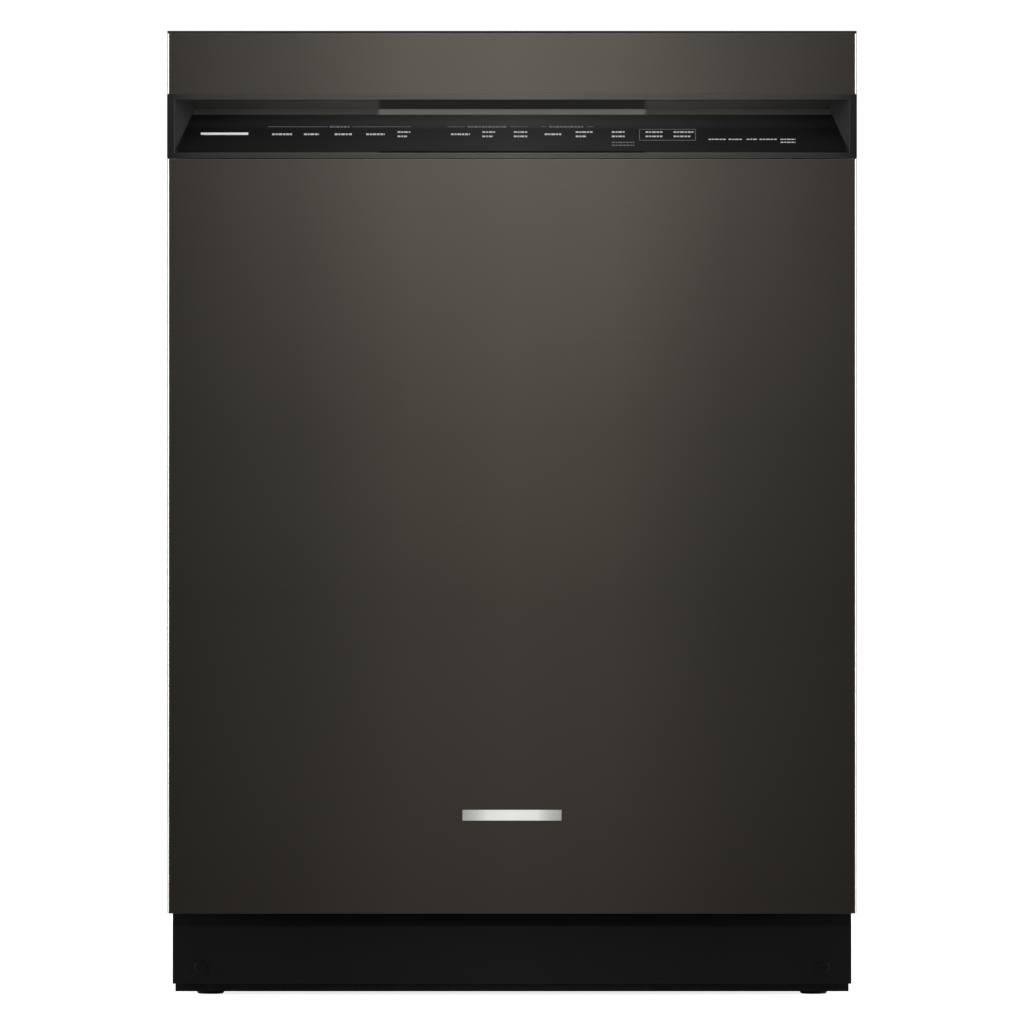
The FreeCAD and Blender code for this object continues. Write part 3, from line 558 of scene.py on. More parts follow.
def cuboid(low: Sequence[float], high: Sequence[float]) -> bmesh.types.BMesh:
    """A plain box, for other steps to shape.

    Args:
        low: The lower corner.
        high: The upper corner.

    Returns:
        The box's bmesh.
    """
    part = bmesh.new()
    bmesh.ops.create_cube(part, size=1.0)
    size, middle = Vector(high) - Vector(low), (Vector(high) + Vector(low)) / 2
    bmesh.ops.transform(part, matrix=Matrix.Translation(middle) @ Matrix.Diagonal((*size, 1.0)), verts=part.verts)
    return part


class Shape:
    """Closed meshes in the shared frame, collected in one bmesh."""

    def __init__(self) -> None:
        """Starts empty."""
        self.mesh = bmesh.new()

    def block(self, low: Sequence[float], high: Sequence[float], soft: float = 0.0, steps: int = 3) -> "Shape":
        """Adds a box with rounded edges.

        Args:
            low: The lowest corner.
            high: The highest corner.
            soft: The edge radius.
            steps: Segments in the rounding.

        Returns:
            The shape itself.
        """
        part = cuboid(low, high)
        if soft > 0:
            radius = min(soft, min(Vector(high) - Vector(low)) * 0.45)
            bmesh.ops.bevel(part, geom=part.edges, offset=radius, segments=steps, profile=0.5, affect="EDGES",
                            clamp_overlap=True)
        return self.take(part)

    def prism(self, outline: Sequence[tuple[float, float]], axis: int, low: float, high: float,
              soft: float = 0.0) -> "Shape":
        """Adds an outline drawn in the two other axes and drawn out along one axis.

        Args:
            outline: Corner pairs in X, Y, Z order of the other two axes.
            axis: 0, 1 or 2.
            low: Where it starts.
            high: Where it ends.
            soft: The edge radius.

        Returns:
            The shape itself.
        """
        part = bmesh.new()
        rings = []
        for level in (low, high):
            ring = []
            for pair in outline:
                place = list(pair)
                place.insert(axis, level)
                ring.append(part.verts.new(place))
            rings.append(ring)
        part.faces.new(rings[0])
        part.faces.new(list(reversed(rings[1])))
        for index in range(len(outline)):
            after = (index + 1) % len(outline)
            part.faces.new((rings[0][index], rings[1][index], rings[1][after], rings[0][after]))
        bmesh.ops.recalc_face_normals(part, faces=part.faces)
        if soft > 0:
            bmesh.ops.bevel(part, geom=part.edges, offset=soft, segments=3, profile=0.5, affect="EDGES",
                            clamp_overlap=True)
        return self.take(part)

    def lathe(self, profile: Sequence[tuple[float, float]], centre: Point, axis: str = "z",
              steps: int = 32) -> "Shape":
        """Adds a profile of (radius, height) turned about an axis.

        Args:
            profile: The points from one end of the axis to the other.
            centre: The axis's zero point.
            axis: x, y or z.
            steps: Segments round the turn.

        Returns:
            The shape itself.
        """
        part = bmesh.new()
        rings = []
        for radius, height in profile:
            if radius < 1e-7:
                rings.append([part.verts.new((0.0, 0.0, height))])
                continue
            turn = [2 * math.pi * index / steps for index in range(steps)]
            rings.append([part.verts.new((radius * math.cos(a), radius * math.sin(a), height)) for a in turn])
        for first, second in zip(rings, rings[1:]):
            for index in range(steps):
                after = (index + 1) % steps
                corners = [first[index % len(first)], first[after % len(first)],
                           second[after % len(second)], second[index % len(second)]]
                unique = list(dict.fromkeys(corners))
                if len(unique) > 2:
                    part.faces.new(unique)
        for ring in (rings[0], rings[-1]):
            if len(ring) > 2:
                part.faces.new(ring)
        turns = {"x": Matrix.Rotation(math.pi / 2, 4, "Y"), "y": Matrix.Rotation(-math.pi / 2, 4, "X"),
                 "z": Matrix.Identity(4)}
        bmesh.ops.transform(part, matrix=Matrix.Translation(centre) @ turns[axis], verts=part.verts)
        bmesh.ops.recalc_face_normals(part, faces=part.faces)
        return self.take(part)

    def take(self, part: bmesh.types.BMesh) -> "Shape":
        """Moves another bmesh's geometry into this one."""
        scratch = bpy.data.meshes.new("scratch")
        part.to_mesh(scratch)
        part.free()
        self.mesh.from_mesh(scratch)
        bpy.data.meshes.remove(scratch)
        return self

    def move(self, matrix: Matrix) -> "Shape":
        """Moves or turns the collected geometry.

        Args:
            matrix: The move.

        Returns:
            The shape itself.
        """
        bmesh.ops.transform(self.mesh, matrix=matrix, verts=self.mesh.verts)
        return self

    def mirror(self) -> "Shape":
        """Adds the same geometry on the other side of the machine."""
        twin = self.mesh.copy()
        bmesh.ops.transform(twin, matrix=Matrix.Diagonal((-1.0, 1.0, 1.0, 1.0)), verts=twin.verts)
        bmesh.ops.reverse_faces(twin, faces=twin.faces)
        return self.take(twin)

    def object(self, name: str, material: bpy.types.Material, smooth_angle: float = 35.0) -> bpy.types.Object:
        """Turns the collected geometry into an object.

        Args:
            name: The piece's name.
            material: Its finish.
            smooth_angle: Edges sharper than this stay sharp, in degrees.

        Returns:
            The new object, at the origin.
        """
        data = bpy.data.meshes.new(name)
        self.mesh.to_mesh(data)
        self.mesh.free()
        made = placed(name, data)
        made.data.materials.append(material)
        shade(made, smooth_angle)
        return made


def shade(item: bpy.types.Object, smooth_angle: float) -> None:
    """Smooths an object's faces and keeps edges over an angle sharp.

    Args:
        item: The mesh object.
        smooth_angle: The angle in degrees.
    """
    work = bmesh.new()
    work.from_mesh(item.data)
    limit = math.radians(smooth_angle)
    for face in work.faces:
        face.smooth = True
    for edge in work.edges:
        edge.smooth = len(edge.link_faces) == 2 and edge.calc_face_angle(0.0) < limit
    work.to_mesh(item.data)
    work.free()
    flat = item.modifiers.new("flat_faces", "WEIGHTED_NORMAL")
    flat.keep_sharp = True


def polished(node: str, material: bpy.types.Material, soft: float, name: str | None = None,
             steps: int = 3) -> bpy.types.Object:
    """A copy of a CAD node with its faces merged and its sharp edges rounded.

    Args:
        node: The CAD node.
        material: Its finish.
        soft: The edge radius.
        name: The piece's name, or None for the node's own with an ending.
        steps: Segments in the rounding.

    Returns:
        The new object.
    """
    source = frame["nodes"][node]
    work = bmesh.new()
    work.from_mesh(source.data)
    bmesh.ops.remove_doubles(work, verts=work.verts, dist=1e-6)
    bmesh.ops.dissolve_limit(work, angle_limit=math.radians(2.0), verts=work.verts, edges=work.edges)
    work.normal_update()
    sharp = [e for e in work.edges if len(e.link_faces) == 2 and e.calc_face_angle(0.0) > math.radians(28.0)]
    bmesh.ops.bevel(work, geom=sharp, offset=soft, segments=steps, profile=0.5, affect="EDGES", clamp_overlap=True)
    shape = Shape()
    shape.take(work)
    return shape.object(name or node + "_finished", material, 40.0)


# ---------------------------------------------------------------- geometry node trees


class PieceTree(NodeGraph):
    """Geometry nodes with named inputs that make one kind of piece."""

    def __init__(self, name: str, inputs: dict[str, str]) -> None:
        """Starts a tree whose first input is geometry and whose last is the finish.

        Args:
            name: The tree's name.
            inputs: Every other input's kind, by its name.
        """
        super().__init__(bpy.data.node_groups.new(name, "GeometryNodeTree"))
        self.ids: dict[str, str] = {}
        for title, kind in {"Geometry": "Geometry", **inputs, "Finish": "Material"}.items():
            made = self.tree.interface.new_socket(title, in_out="INPUT", socket_type="NodeSocket" + kind)
            self.ids[title] = made.identifier
        self.tree.interface.new_socket("Geometry", in_out="OUTPUT", socket_type="NodeSocketGeometry")
        self.inputs = self.add("NodeGroupInput").outputs

    def tube(self, path: bpy.types.NodeSocket) -> bpy.types.NodeSocket:
        """A round wire of the tree's wire radius along a curve.

        Args:
            path: The socket that carries the curve.

        Returns:
            The socket that carries the wire's mesh.
        """
        section = self.add("GeometryNodeCurvePrimitiveCircle", Resolution=8, Radius=self.inputs["Wire Radius"])
        made = self.add("GeometryNodeCurveToMesh", Fill_Caps=True, Curve=path, Profile_Curve=section.outputs["Curve"])
        return made.outputs["Mesh"]

    def close(self, item: bpy.types.NodeSocket) -> None:
        """Ends the tree in real geometry with its finish.

        Args:
            item: The socket that carries the pieces.
        """
        real = self.add("GeometryNodeRealizeInstances", Geometry=item)
        dressed = self.add("GeometryNodeSetMaterial", Geometry=real.outputs["Geometry"],
                           Material=self.inputs["Finish"])
        self.add("NodeGroupOutput", Geometry=dressed.outputs["Geometry"])

    def evaluate(self, base: bpy.types.Object, name: str, smooth_angle: float,
                 values: dict[str, object]) -> bpy.types.Object:
        """Runs the tree on a base object and keeps the result as a plain mesh.

        Args:
            base: The object that carries the tree. It is removed.
            name: The piece's name.
            smooth_angle: Edges sharper than this stay sharp, in degrees.
            values: The inputs' values by name.

        Returns:
            The new object.
        """
        modifier = base.modifiers.new("tree", "NODES")
        modifier.node_group = self.tree
        for key, value in values.items():
            modifier[self.ids[key]] = value
        graph = bpy.context.evaluated_depsgraph_get()
        data = bpy.data.meshes.new_from_object(base.evaluated_get(graph))
        data.name = name
        base.modifiers.remove(modifier)
        bpy.data.objects.remove(base)
        made = placed(name, data)
        shade(made, smooth_angle)
        return made


class RowTree(PieceTree):
    """Geometry nodes that repeat a wire path or a solid along a line, or in a grid."""

    def __init__(self, name: str, is_wire: bool) -> None:
        """Builds the tree.

        Args:
            name: The tree's name.
            is_wire: True if the base mesh is a path of edges to be made into a round wire.
        """
        super().__init__(name, {"Count": "Int", "Step": "Vector", "Rows": "Int", "Row Step": "Vector",
                                "Wire Radius": "Float", "Bend Radius": "Float"})
        item = self.inputs["Geometry"]
        if is_wire:
            item = self.tube(self.bent(item))
        for count, step in (("Count", "Step"), ("Rows", "Row Step")):
            line = self.add("GeometryNodeMeshLine", mode="OFFSET", Count=self.inputs[count], Offset=self.inputs[step])
            item = self.add("GeometryNodeInstanceOnPoints", Points=line.outputs["Mesh"],
                            Instance=item).outputs["Instances"]
        self.close(item)

    def bent(self, path: bpy.types.NodeSocket) -> bpy.types.NodeSocket:
        """Turns a path of edges into a curve with rounded bends.

        Args:
            path: The socket that carries the edges.

        Returns:
            The socket that carries the curve.
        """
        curve = self.add("GeometryNodeMeshToCurve", Mesh=path)
        made = self.add("GeometryNodeFilletCurve", mode="POLY", Count=4, Limit_Radius=True,
                        Curve=curve.outputs["Curve"], Radius=self.inputs["Bend Radius"])
        return made.outputs["Curve"]

    def run(self, base: bpy.types.Object, name: str, smooth_angle: float = 50.0,
            **inputs: object) -> bpy.types.Object:
        """Repeats a base object and keeps the result as a plain mesh.

        Args:
            base: The object whose mesh is repeated. It is removed.
            name: The piece's name.
            smooth_angle: Edges sharper than this stay sharp, in degrees.
            **inputs: Values by input name, with underscores for spaces.

        Returns:
            The new object.
        """
        values = {"Count": 1, "Step": (0.0, 0.0, 0.0), "Rows": 1, "Row Step": (0.0, 0.0, 0.0)}
        values.update({key.replace("_", " "): value for key, value in inputs.items()})
        return self.evaluate(base, name, smooth_angle, values)


class CoilTree(PieceTree):
    """Geometry nodes that wind a round wire into a coil along +Y."""

    def __init__(self) -> None:
        """Builds the tree."""
        super().__init__("coil", {"Turns": "Float", "Coil Radius": "Float", "Length": "Float",
                                  "Wire Radius": "Float", "Start": "Vector"})
        spiral = self.add("GeometryNodeCurveSpiral", Resolution=14, Rotations=self.inputs["Turns"],
                          Start_Radius=self.inputs["Coil Radius"], End_Radius=self.inputs["Coil Radius"],
                          Height=self.inputs["Length"])
        laid = self.add("GeometryNodeTransform", Rotation=(-math.pi / 2, 0.0, 0.0),
                        Geometry=self.tube(spiral.outputs["Curve"]), Translation=self.inputs["Start"])
        self.close(laid.outputs["Geometry"])

    def run(self, name: str, turns: float, coil_radius: float, length: float, wire_radius: float, start: Point,
            material: bpy.types.Material) -> bpy.types.Object:
        """Winds one coil and keeps it as a plain mesh.

        Args:
            name: The piece's name.
            turns: How many turns.
            coil_radius: From the axis to the wire's middle.
            length: Along +Y.
            wire_radius: The wire's own radius.
            start: Where the axis starts.
            material: The finish.

        Returns:
            The new object.
        """
        values = {"Turns": turns, "Coil Radius": coil_radius, "Length": length, "Wire Radius": wire_radius,
                  "Start": start, "Finish": material}
        return self.evaluate(placed("coil_base", bpy.data.meshes.new("coil_base")), name, 60.0, values)


def path_object(points: Sequence[Point], closed: bool = False) -> bpy.types.Object:
    """A bare path of edges for a wire tree.

    Args:
        points: The path's corners.
        closed: True to join the last corner to the first.

    Returns:
        The object.
    """
    count = len(points)
    edges = [(index, index + 1) for index in range(count - 1)]
    if closed:
        edges.append((count - 1, 0))
    data = bpy.data.meshes.new("path")
    data.from_pydata(points, edges, [])
    return placed("path", data)


def joined(name: str, pieces: Iterable[bpy.types.Object]) -> bpy.types.Object:
    """Joins mesh objects of the same body and finish into one.

    Args:
        name: The joined piece's name.
        pieces: The objects, which are removed.

    Returns:
        The joined object.
    """
    pieces = list(pieces)
    work = bmesh.new()
    for piece in pieces:
        work.from_mesh(piece.data)
    data = bpy.data.meshes.new(name)
    work.to_mesh(data)
    work.free()
    data.materials.append(pieces[0].data.materials[0])
    for piece in pieces:
        bpy.data.objects.remove(piece)
    return placed(name, data)


def settle(piece: bpy.types.Object, body: str, slot: str, *nodes: str) -> bpy.types.Object:
    """Ties a finished piece to its body and hides the CAD nodes it stands for.

    Args:
        piece: The finished object.
        body: The body it moves with.
        slot: The record's material slot; not used.
        *nodes: CAD nodes it replaces.

    Returns:
        The piece.
    """
    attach(piece, body)
    if nodes:
        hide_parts(*nodes)
    LOG.info("%s rides on %s, %d faces", piece.name, body, len(piece.data.polygons))
    return piece


# ---------------------------------------------------------------- sub-assemblies


@dataclass
class Workshop:
    """The finishes, the node trees and what the record says of each CAD node."""

    palette: Palette
    wires: RowTree
    rows: RowTree
    coils: CoilTree
    slots: dict[str, str]
    bodies: dict[str, str]


@dataclass
class SubAssembly:
    """What every sub-assembly does with the shared workshop."""

    shop: Workshop

    def place(self, piece: bpy.types.Object, *nodes: str, body: str = "", slot: str = "") -> bpy.types.Object:
        """Settles a piece, by default on the body of the first node it replaces.

        Args:
            piece: The finished object.
            *nodes: The CAD nodes it replaces.
            body: The body, where it replaces none.
            slot: The material slot, where it isn't the first node's.

        Returns:
            The piece.
        """
        first = nodes[0] if nodes else ""
        return settle(piece, body or self.shop.bodies[first], slot or self.shop.slots[first], *nodes)

    def polish(self, node: str, finish: str, soft: float = 0.4 * MM, steps: int = 2) -> bpy.types.Object:
        """Replaces a CAD node by its copy with rounded edges.

        Args:
            node: The CAD node.
            finish: The finish's name.
            soft: The edge radius.
            steps: Segments in the rounding.

        Returns:
            The piece.
        """
        return self.place(polished(node, self.shop.palette[finish], soft, steps=steps), node)

    def paint(self, finish: str, *nodes: str) -> None:
        """Gives CAD nodes whose shape is right their finish."""
        for node in nodes:
            data = frame["nodes"][node].data
            data.materials.clear()
            data.materials.append(self.shop.palette[finish])

    def build(self) -> None:
        """Builds every piece of the sub-assembly."""
        raise NotImplementedError


@dataclass
class Studio:
    """The floor, the lights and the camera."""

    distance: float = 8.0
    coverage: float = 0.9
    eye_height: float = 0.428
    eye_across: float = 0.0
    floor_glow: float = 0.82
    surround: float = 0.22
    backdrop: float = 1.05
    floor_reach: float = 60.0
    sensor: float = 36.0

    def floor(self) -> None:
        """Lays a plain pale floor."""
        data = bpy.data.meshes.new("floor")
        reach = self.floor_reach
        data.from_pydata([(-reach, -reach, 0), (reach, -reach, 0), (reach, reach, 0), (-reach, reach, 0)], [],
                         [(0, 1, 2, 3)])
        made = placed("floor", data)
        graph = Graph("floor_paint")
        seen = graph.add("ShaderNodeLightPath").outputs["Is Camera Ray"]
        graph.set(Base_Color=(0.9, 0.9, 0.9, 1.0), Roughness=0.95, Specular_IOR_Level=0.0,
                  Emission_Color=(1.0, 1.0, 1.0, 1.0), Emission_Strength=graph.maths("MULTIPLY", seen, self.floor_glow))
        data.materials.append(graph.material)

    def world(self) -> None:
        """Sets a white surround that lights gently."""
        world = bpy.data.worlds.new("surround")
        world.use_nodes = True
        graph = NodeGraph(world.node_tree)
        graph.tree.nodes.clear()
        seen = graph.add("ShaderNodeBackground", Color=(1.0, 1.0, 1.0, 1.0), Strength=self.backdrop)
        lighting = graph.add("ShaderNodeBackground", Color=(1.0, 0.99, 0.97, 1.0), Strength=self.surround)
        mix = graph.add("ShaderNodeMixShader", Fac=graph.add("ShaderNodeLightPath").outputs["Is Camera Ray"])
        for socket, background in zip(list(mix.inputs)[1:], (lighting, seen)):
            graph.feed(socket, background.outputs["Background"])
        graph.add("ShaderNodeOutputWorld", Surface=mix.outputs["Shader"])
        bpy.context.scene.world = world

    def lamp(self, name: str, place: Point, aim: Point, size: tuple[float, float], power: float) -> None:
        """Hangs one rectangular soft light.

        Args:
            name: The light's name.
            place: Where it hangs.
            aim: The point it faces.
            size: Its width and height.
            power: Its power in watts.
        """
        data = bpy.data.lights.new(name, "AREA")
        data.shape = "RECTANGLE"
        data.size, data.size_y = size
        data.energy = power
        made = placed(name, data)
        made.location = place
        made.rotation_euler = (Vector(aim) - Vector(place)).to_track_quat("-Z", "Y").to_euler()

    def camera(self) -> None:
        """Stands a long-lens camera straight in front of the door."""
        data = bpy.data.cameras.new("camera")
        data.sensor_width = self.sensor
        data.lens = self.sensor * self.distance / self.coverage
        data.clip_end = 200.0
        made = placed("camera", data)
        door_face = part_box("door_outer_panel")[0].y
        made.location = (self.eye_across, door_face - self.distance, self.eye_height)
        made.rotation_euler = (math.pi / 2, 0.0, 0.0)
        bpy.context.scene.camera = made

    def build(self) -> None:
        """Builds the studio."""
        scene = bpy.context.scene
        scene.view_settings.view_transform = "Standard"
        self.floor()
        self.world()
        self.lamp("key", (0.0, -3.2, 3.4), (0.0, -0.3, 0.75), (3.0, 1.2), 45.0)
        self.lamp("left_strip", (-2.6, -1.2, 1.2), (0.0, -0.3, 0.45), (0.8, 2.4), 40.0)
        self.lamp("right_strip", (2.6, -1.2, 1.2), (0.0, -0.3, 0.45), (0.8, 2.4), 40.0)
        self.lamp("rear_fill", (0.0, 3.5, 2.6), (0.0, 0.3, 0.4), (3.0, 1.5), 60.0)
        self.camera()


@dataclass
class OuterDoor(SubAssembly):
    """The two folded front panels, the trim above them and the blank badge."""

    sheet: float = 1.0 * MM
    edge_radius: float = 3.0 * MM
    arc_steps: int = 10
    hem: float = 0.3 * MM

    def outline(self, half: float, front: float, back: float, radius: float) -> list[tuple[float, float]]:
        """Corner points of one side of the folded sheet, from the left return to the right one.

        Args:
            half: Half the width.
            front: The front face.
            back: The returns' ends.
            radius: The fold's radius.

        Returns:
            The points, in X and Y.
        """
        points = [(-half, back)]
        for side in (-1, 1):
            arc = []
            for index in range(self.arc_steps + 1):
                turn = math.pi / 2 * index / self.arc_steps
                arc.append((side * (half - radius + radius * math.cos(turn)),
                            front + radius - radius * math.sin(turn)))
            points += arc if side < 0 else list(reversed(arc))
        points.append((half, back))
        return points

    def folded(self, node: str, slot_half: float = 0.0) -> bpy.types.Object:
        """One front panel: a sheet folded round its four sides.

        Args:
            node: The CAD node it stands for.
            slot_half: Half the width left open in the lower flange.

        Returns:
            The piece.
        """
        low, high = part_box(node)
        outer = self.outline(high.x, low.y, high.y, self.edge_radius)
        inner = self.outline(high.x - self.sheet, low.y + self.sheet, high.y, self.edge_radius - self.sheet)
        shape = Shape().prism(outer + list(reversed(inner)), 2, low.z, high.z)
        bevel_edges(shape.mesh, self.hem, 60.0)
        inside, front = high.x - self.sheet, low.y + self.sheet
        shape.block((-inside, front, high.z - self.sheet), (inside, high.y, high.z), self.hem)
        if slot_half:
            for side in (-1, 1):
                ends = sorted((side * slot_half, side * inside))
                shape.block((ends[0], front, low.z), (ends[1], high.y, low.z + self.sheet), self.hem)
            shape.block((-slot_half, front, low.z), (slot_half, front + 2 * self.sheet, low.z + self.sheet), self.hem)
        else:
            shape.block((-inside, front, low.z), (inside, high.y, low.z + self.sheet), self.hem)
        piece = shape.object(node + "_sheet", self.shop.palette["dark_coated_steel"])
        return self.place(piece, node)

    def build(self) -> None:
        """Builds the outer door."""
        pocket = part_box("handle_pocket")
        self.folded("door_outer_panel")
        self.folded("door_top_panel", pocket[1].x + self.sheet)
        self.polish("door_top_trim", "black_plastic", 0.6 * MM)
        self.polish("badge_plate", "badge_metal", 0.2 * MM)


@dataclass
class Console(SubAssembly):
    """The console frame, its sloping touch surface with plain marks, and the finger pocket."""

    film: float = 0.06 * MM
    shadow_gap: float = 1.4 * MM

    def slope(self) -> tuple[Point, Vector]:
        """The touch surface's lower edge and its direction up the slope."""
        low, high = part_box("control_fascia")
        verts = [vertex.co for vertex in frame["nodes"]["control_fascia"].data.vertices]
        foot = max(vert.z for vert in verts if vert.y < low.y + 0.1 * MM)
        top_y = min(vert.y for vert in verts if vert.z > high.z - 0.1 * MM)
        return (0.0, low.y, foot), Vector((0.0, top_y - low.y, high.z - foot)).normalized()

    def marks(self, name: str, finish: str, rectangles: Sequence[tuple[float, float, float, float]]) -> None:
        """Prints thin plain rectangles on the touch surface.

        Args:
            name: The piece's name.
            finish: The print's finish.
            rectangles: Left, right, middle height above the floor and thickness, in millimetres.
        """
        start, climb = self.slope()
        outward = Vector((1.0, 0.0, 0.0)).cross(climb)
        shape = Shape()
        for left, right, height, thick in rectangles:
            along = (height * MM - start[2]) / climb.z
            middle = Vector(start) + climb * along + Vector(((left + right) / 2 * MM, 0.0, 0.0))
            part = bmesh.new()
            bmesh.ops.create_cube(part, size=1.0)
            turn = Matrix((Vector((1, 0, 0)), climb, outward)).transposed().to_4x4()
            size = Matrix.Diagonal(((right - left) * MM, thick * MM, 2 * self.film, 1.0))
            bmesh.ops.transform(part, matrix=Matrix.Translation(middle) @ turn @ size, verts=part.verts)
            shape.take(part)
        self.place(shape.object(name, self.shop.palette[finish]), body="door", slot="touch_glass")

    @staticmethod
    def words(left: float, right: float, height: float, thick: float = 1.5) -> list[tuple[float, float, float, float]]:
        """A broken line of short strokes that stands for a caption.

        Args:
            left: Its left end, in millimetres.
            right: Its right end.
            height: Its height above the floor.
            thick: Its thickness up the slope.

        Returns:
            The rectangles.
        """
        strokes, place, index = [], left, 0
        lengths = (2.6, 1.7, 3.3, 2.1)
        while place < right - 0.6:
            end = min(place + lengths[index % len(lengths)], right)
            strokes.append((place, end, height, thick))
            place, index = end + 0.7, index + 1
        return strokes

    def captions(self) -> None:
        """Prints the rules, captions and status marks."""
        plain, dim = [], []
        for left, right in ((-214.8, -162.3), (-140.5, -88.8), (-56.9, -41.3), (-1.2, 14.2), (25.7, 30.1),
                            (66.3, 71.7)):
            dim.append((left, right, 767.3, 0.5))
        for left, right in ((-160.5, -143.0), (-39.1, -4.0), (32.7, 63.8)):
            dim += self.words(left, right, 767.3, 1.7)
        single, upper, lower = 760.5, 762.5, 758.6
        for left, right in ((-211.2, -192.9), (-183.1, -170.0), (-156.1, -141.0), (-128.4, -112.0), (-53.8, -37.1),
                            (28.8, 43.3)):
            plain += self.words(left, right, single, 1.9)
        for left, right, short in ((-100.7, -89.5, -92.5), (-26.1, -14.9, -16.0), (1.6, 13.7, 13.7),
                                   (56.1, 70.9, 65.0), (87.9, 99.1, 99.1), (117.6, 132.5, 132.5),
                                   (142.2, 159.8, 157.0)):
            plain += self.words(left, right, upper, 1.7)
            plain += self.words(left, short, lower, 1.7)
        for height in (753.1, 750.5):
            dim += self.words(87.9, 107.5, height, 1.1)
        for left, right in ((172.9, 188.8), (190.5, 202.8), (206.4, 216.1), (217.8, 233.6), (236.2, 249.4)):
            plain += self.words(left, right, 755.9, 1.2)
        plain += self.words(236.2, 249.4, 753.2, 1.2)
        box_left, box_right, box_low, box_high = 112.3, 161.5, 755.1, 765.0
        for height in (box_low, box_high):
            dim.append((box_left, box_right, height, 0.5))
        tall = (box_high - box_low) / self.slope()[1].z
        for across in (box_left, box_right):
            dim.append((across - 0.25, across + 0.25, (box_low + box_high) / 2, tall))
        self.marks("fascia_captions", "print_grey", plain)
        self.marks("fascia_rules", "print_dim", dim)
        self.marks("fascia_plain_bar", "print_bright", [(-274.0, -232.2, 761.0, 2.6)])

    def housing(self) -> None:
        """The console frame, with painted light on the ledge and painted shade in the recess, with black plastic on its
        end walls as painted shade.
        """
        piece = self.polish("console_housing", "console_paint", 0.5 * MM)
        low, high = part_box("console_housing")
        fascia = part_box("control_fascia")[1]
        # Recess faces: the ledge gets painted light, the rest gets painted shade, and the end walls get black plastic
        # as painted shade.
        ledge, recess, end_wall = 1, 2, 3
        for name in ("ledge_painted_light", "recess_shade", "black_plastic"):
            piece.data.materials.append(self.shop.palette[name])
        for face in piece.data.polygons:
            centre, normal = face.center, face.normal
            if not low.y + 1.2 * MM <= centre.y <= high.y - 1 * MM or abs(centre.x) > fascia.x + 2.5 * MM:
                continue
            if abs(normal.x) > 0.5:
                face.material_index = end_wall
            elif normal.z > 0.5 and fascia.z - 2 * MM < centre.z < high.z - 8 * MM:
                face.material_index = ledge
            elif low.z + 5 * MM < centre.z < high.z - 4 * MM:
                face.material_index = recess

    def touch_surface(self) -> None:
        """The sloping surface, cut short of the frame's lip so that a real gap shadows its lower edge."""
        piece = self.polish("control_fascia", "touch_panel", 0.25 * MM)
        level = (0.0, 0.0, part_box("control_fascia")[0].z + self.shadow_gap)
        work = bmesh.new()
        work.from_mesh(piece.data)
        cut = bmesh.ops.bisect_plane(work, geom=[*work.verts, *work.edges, *work.faces], plane_co=level,
                                     plane_no=(0.0, 0.0, 1.0), clear_inner=True)
        rim = [item for item in cut["geom_cut"] if isinstance(item, bmesh.types.BMEdge)]
        bmesh.ops.holes_fill(work, edges=rim)
        for edge in rim:
            edge.smooth = False
        open_edges = sum(1 for edge in work.edges if len(edge.link_faces) != 2)
        LOG.info("touch surface: %d open edges after the gap", open_edges)
        work.to_mesh(piece.data)
        work.free()

    def build(self) -> None:
        """Builds the console."""
        self.housing()
        self.touch_surface()
        self.polish("handle_pocket", "black_plastic", 0.4 * MM)
        self.captions()


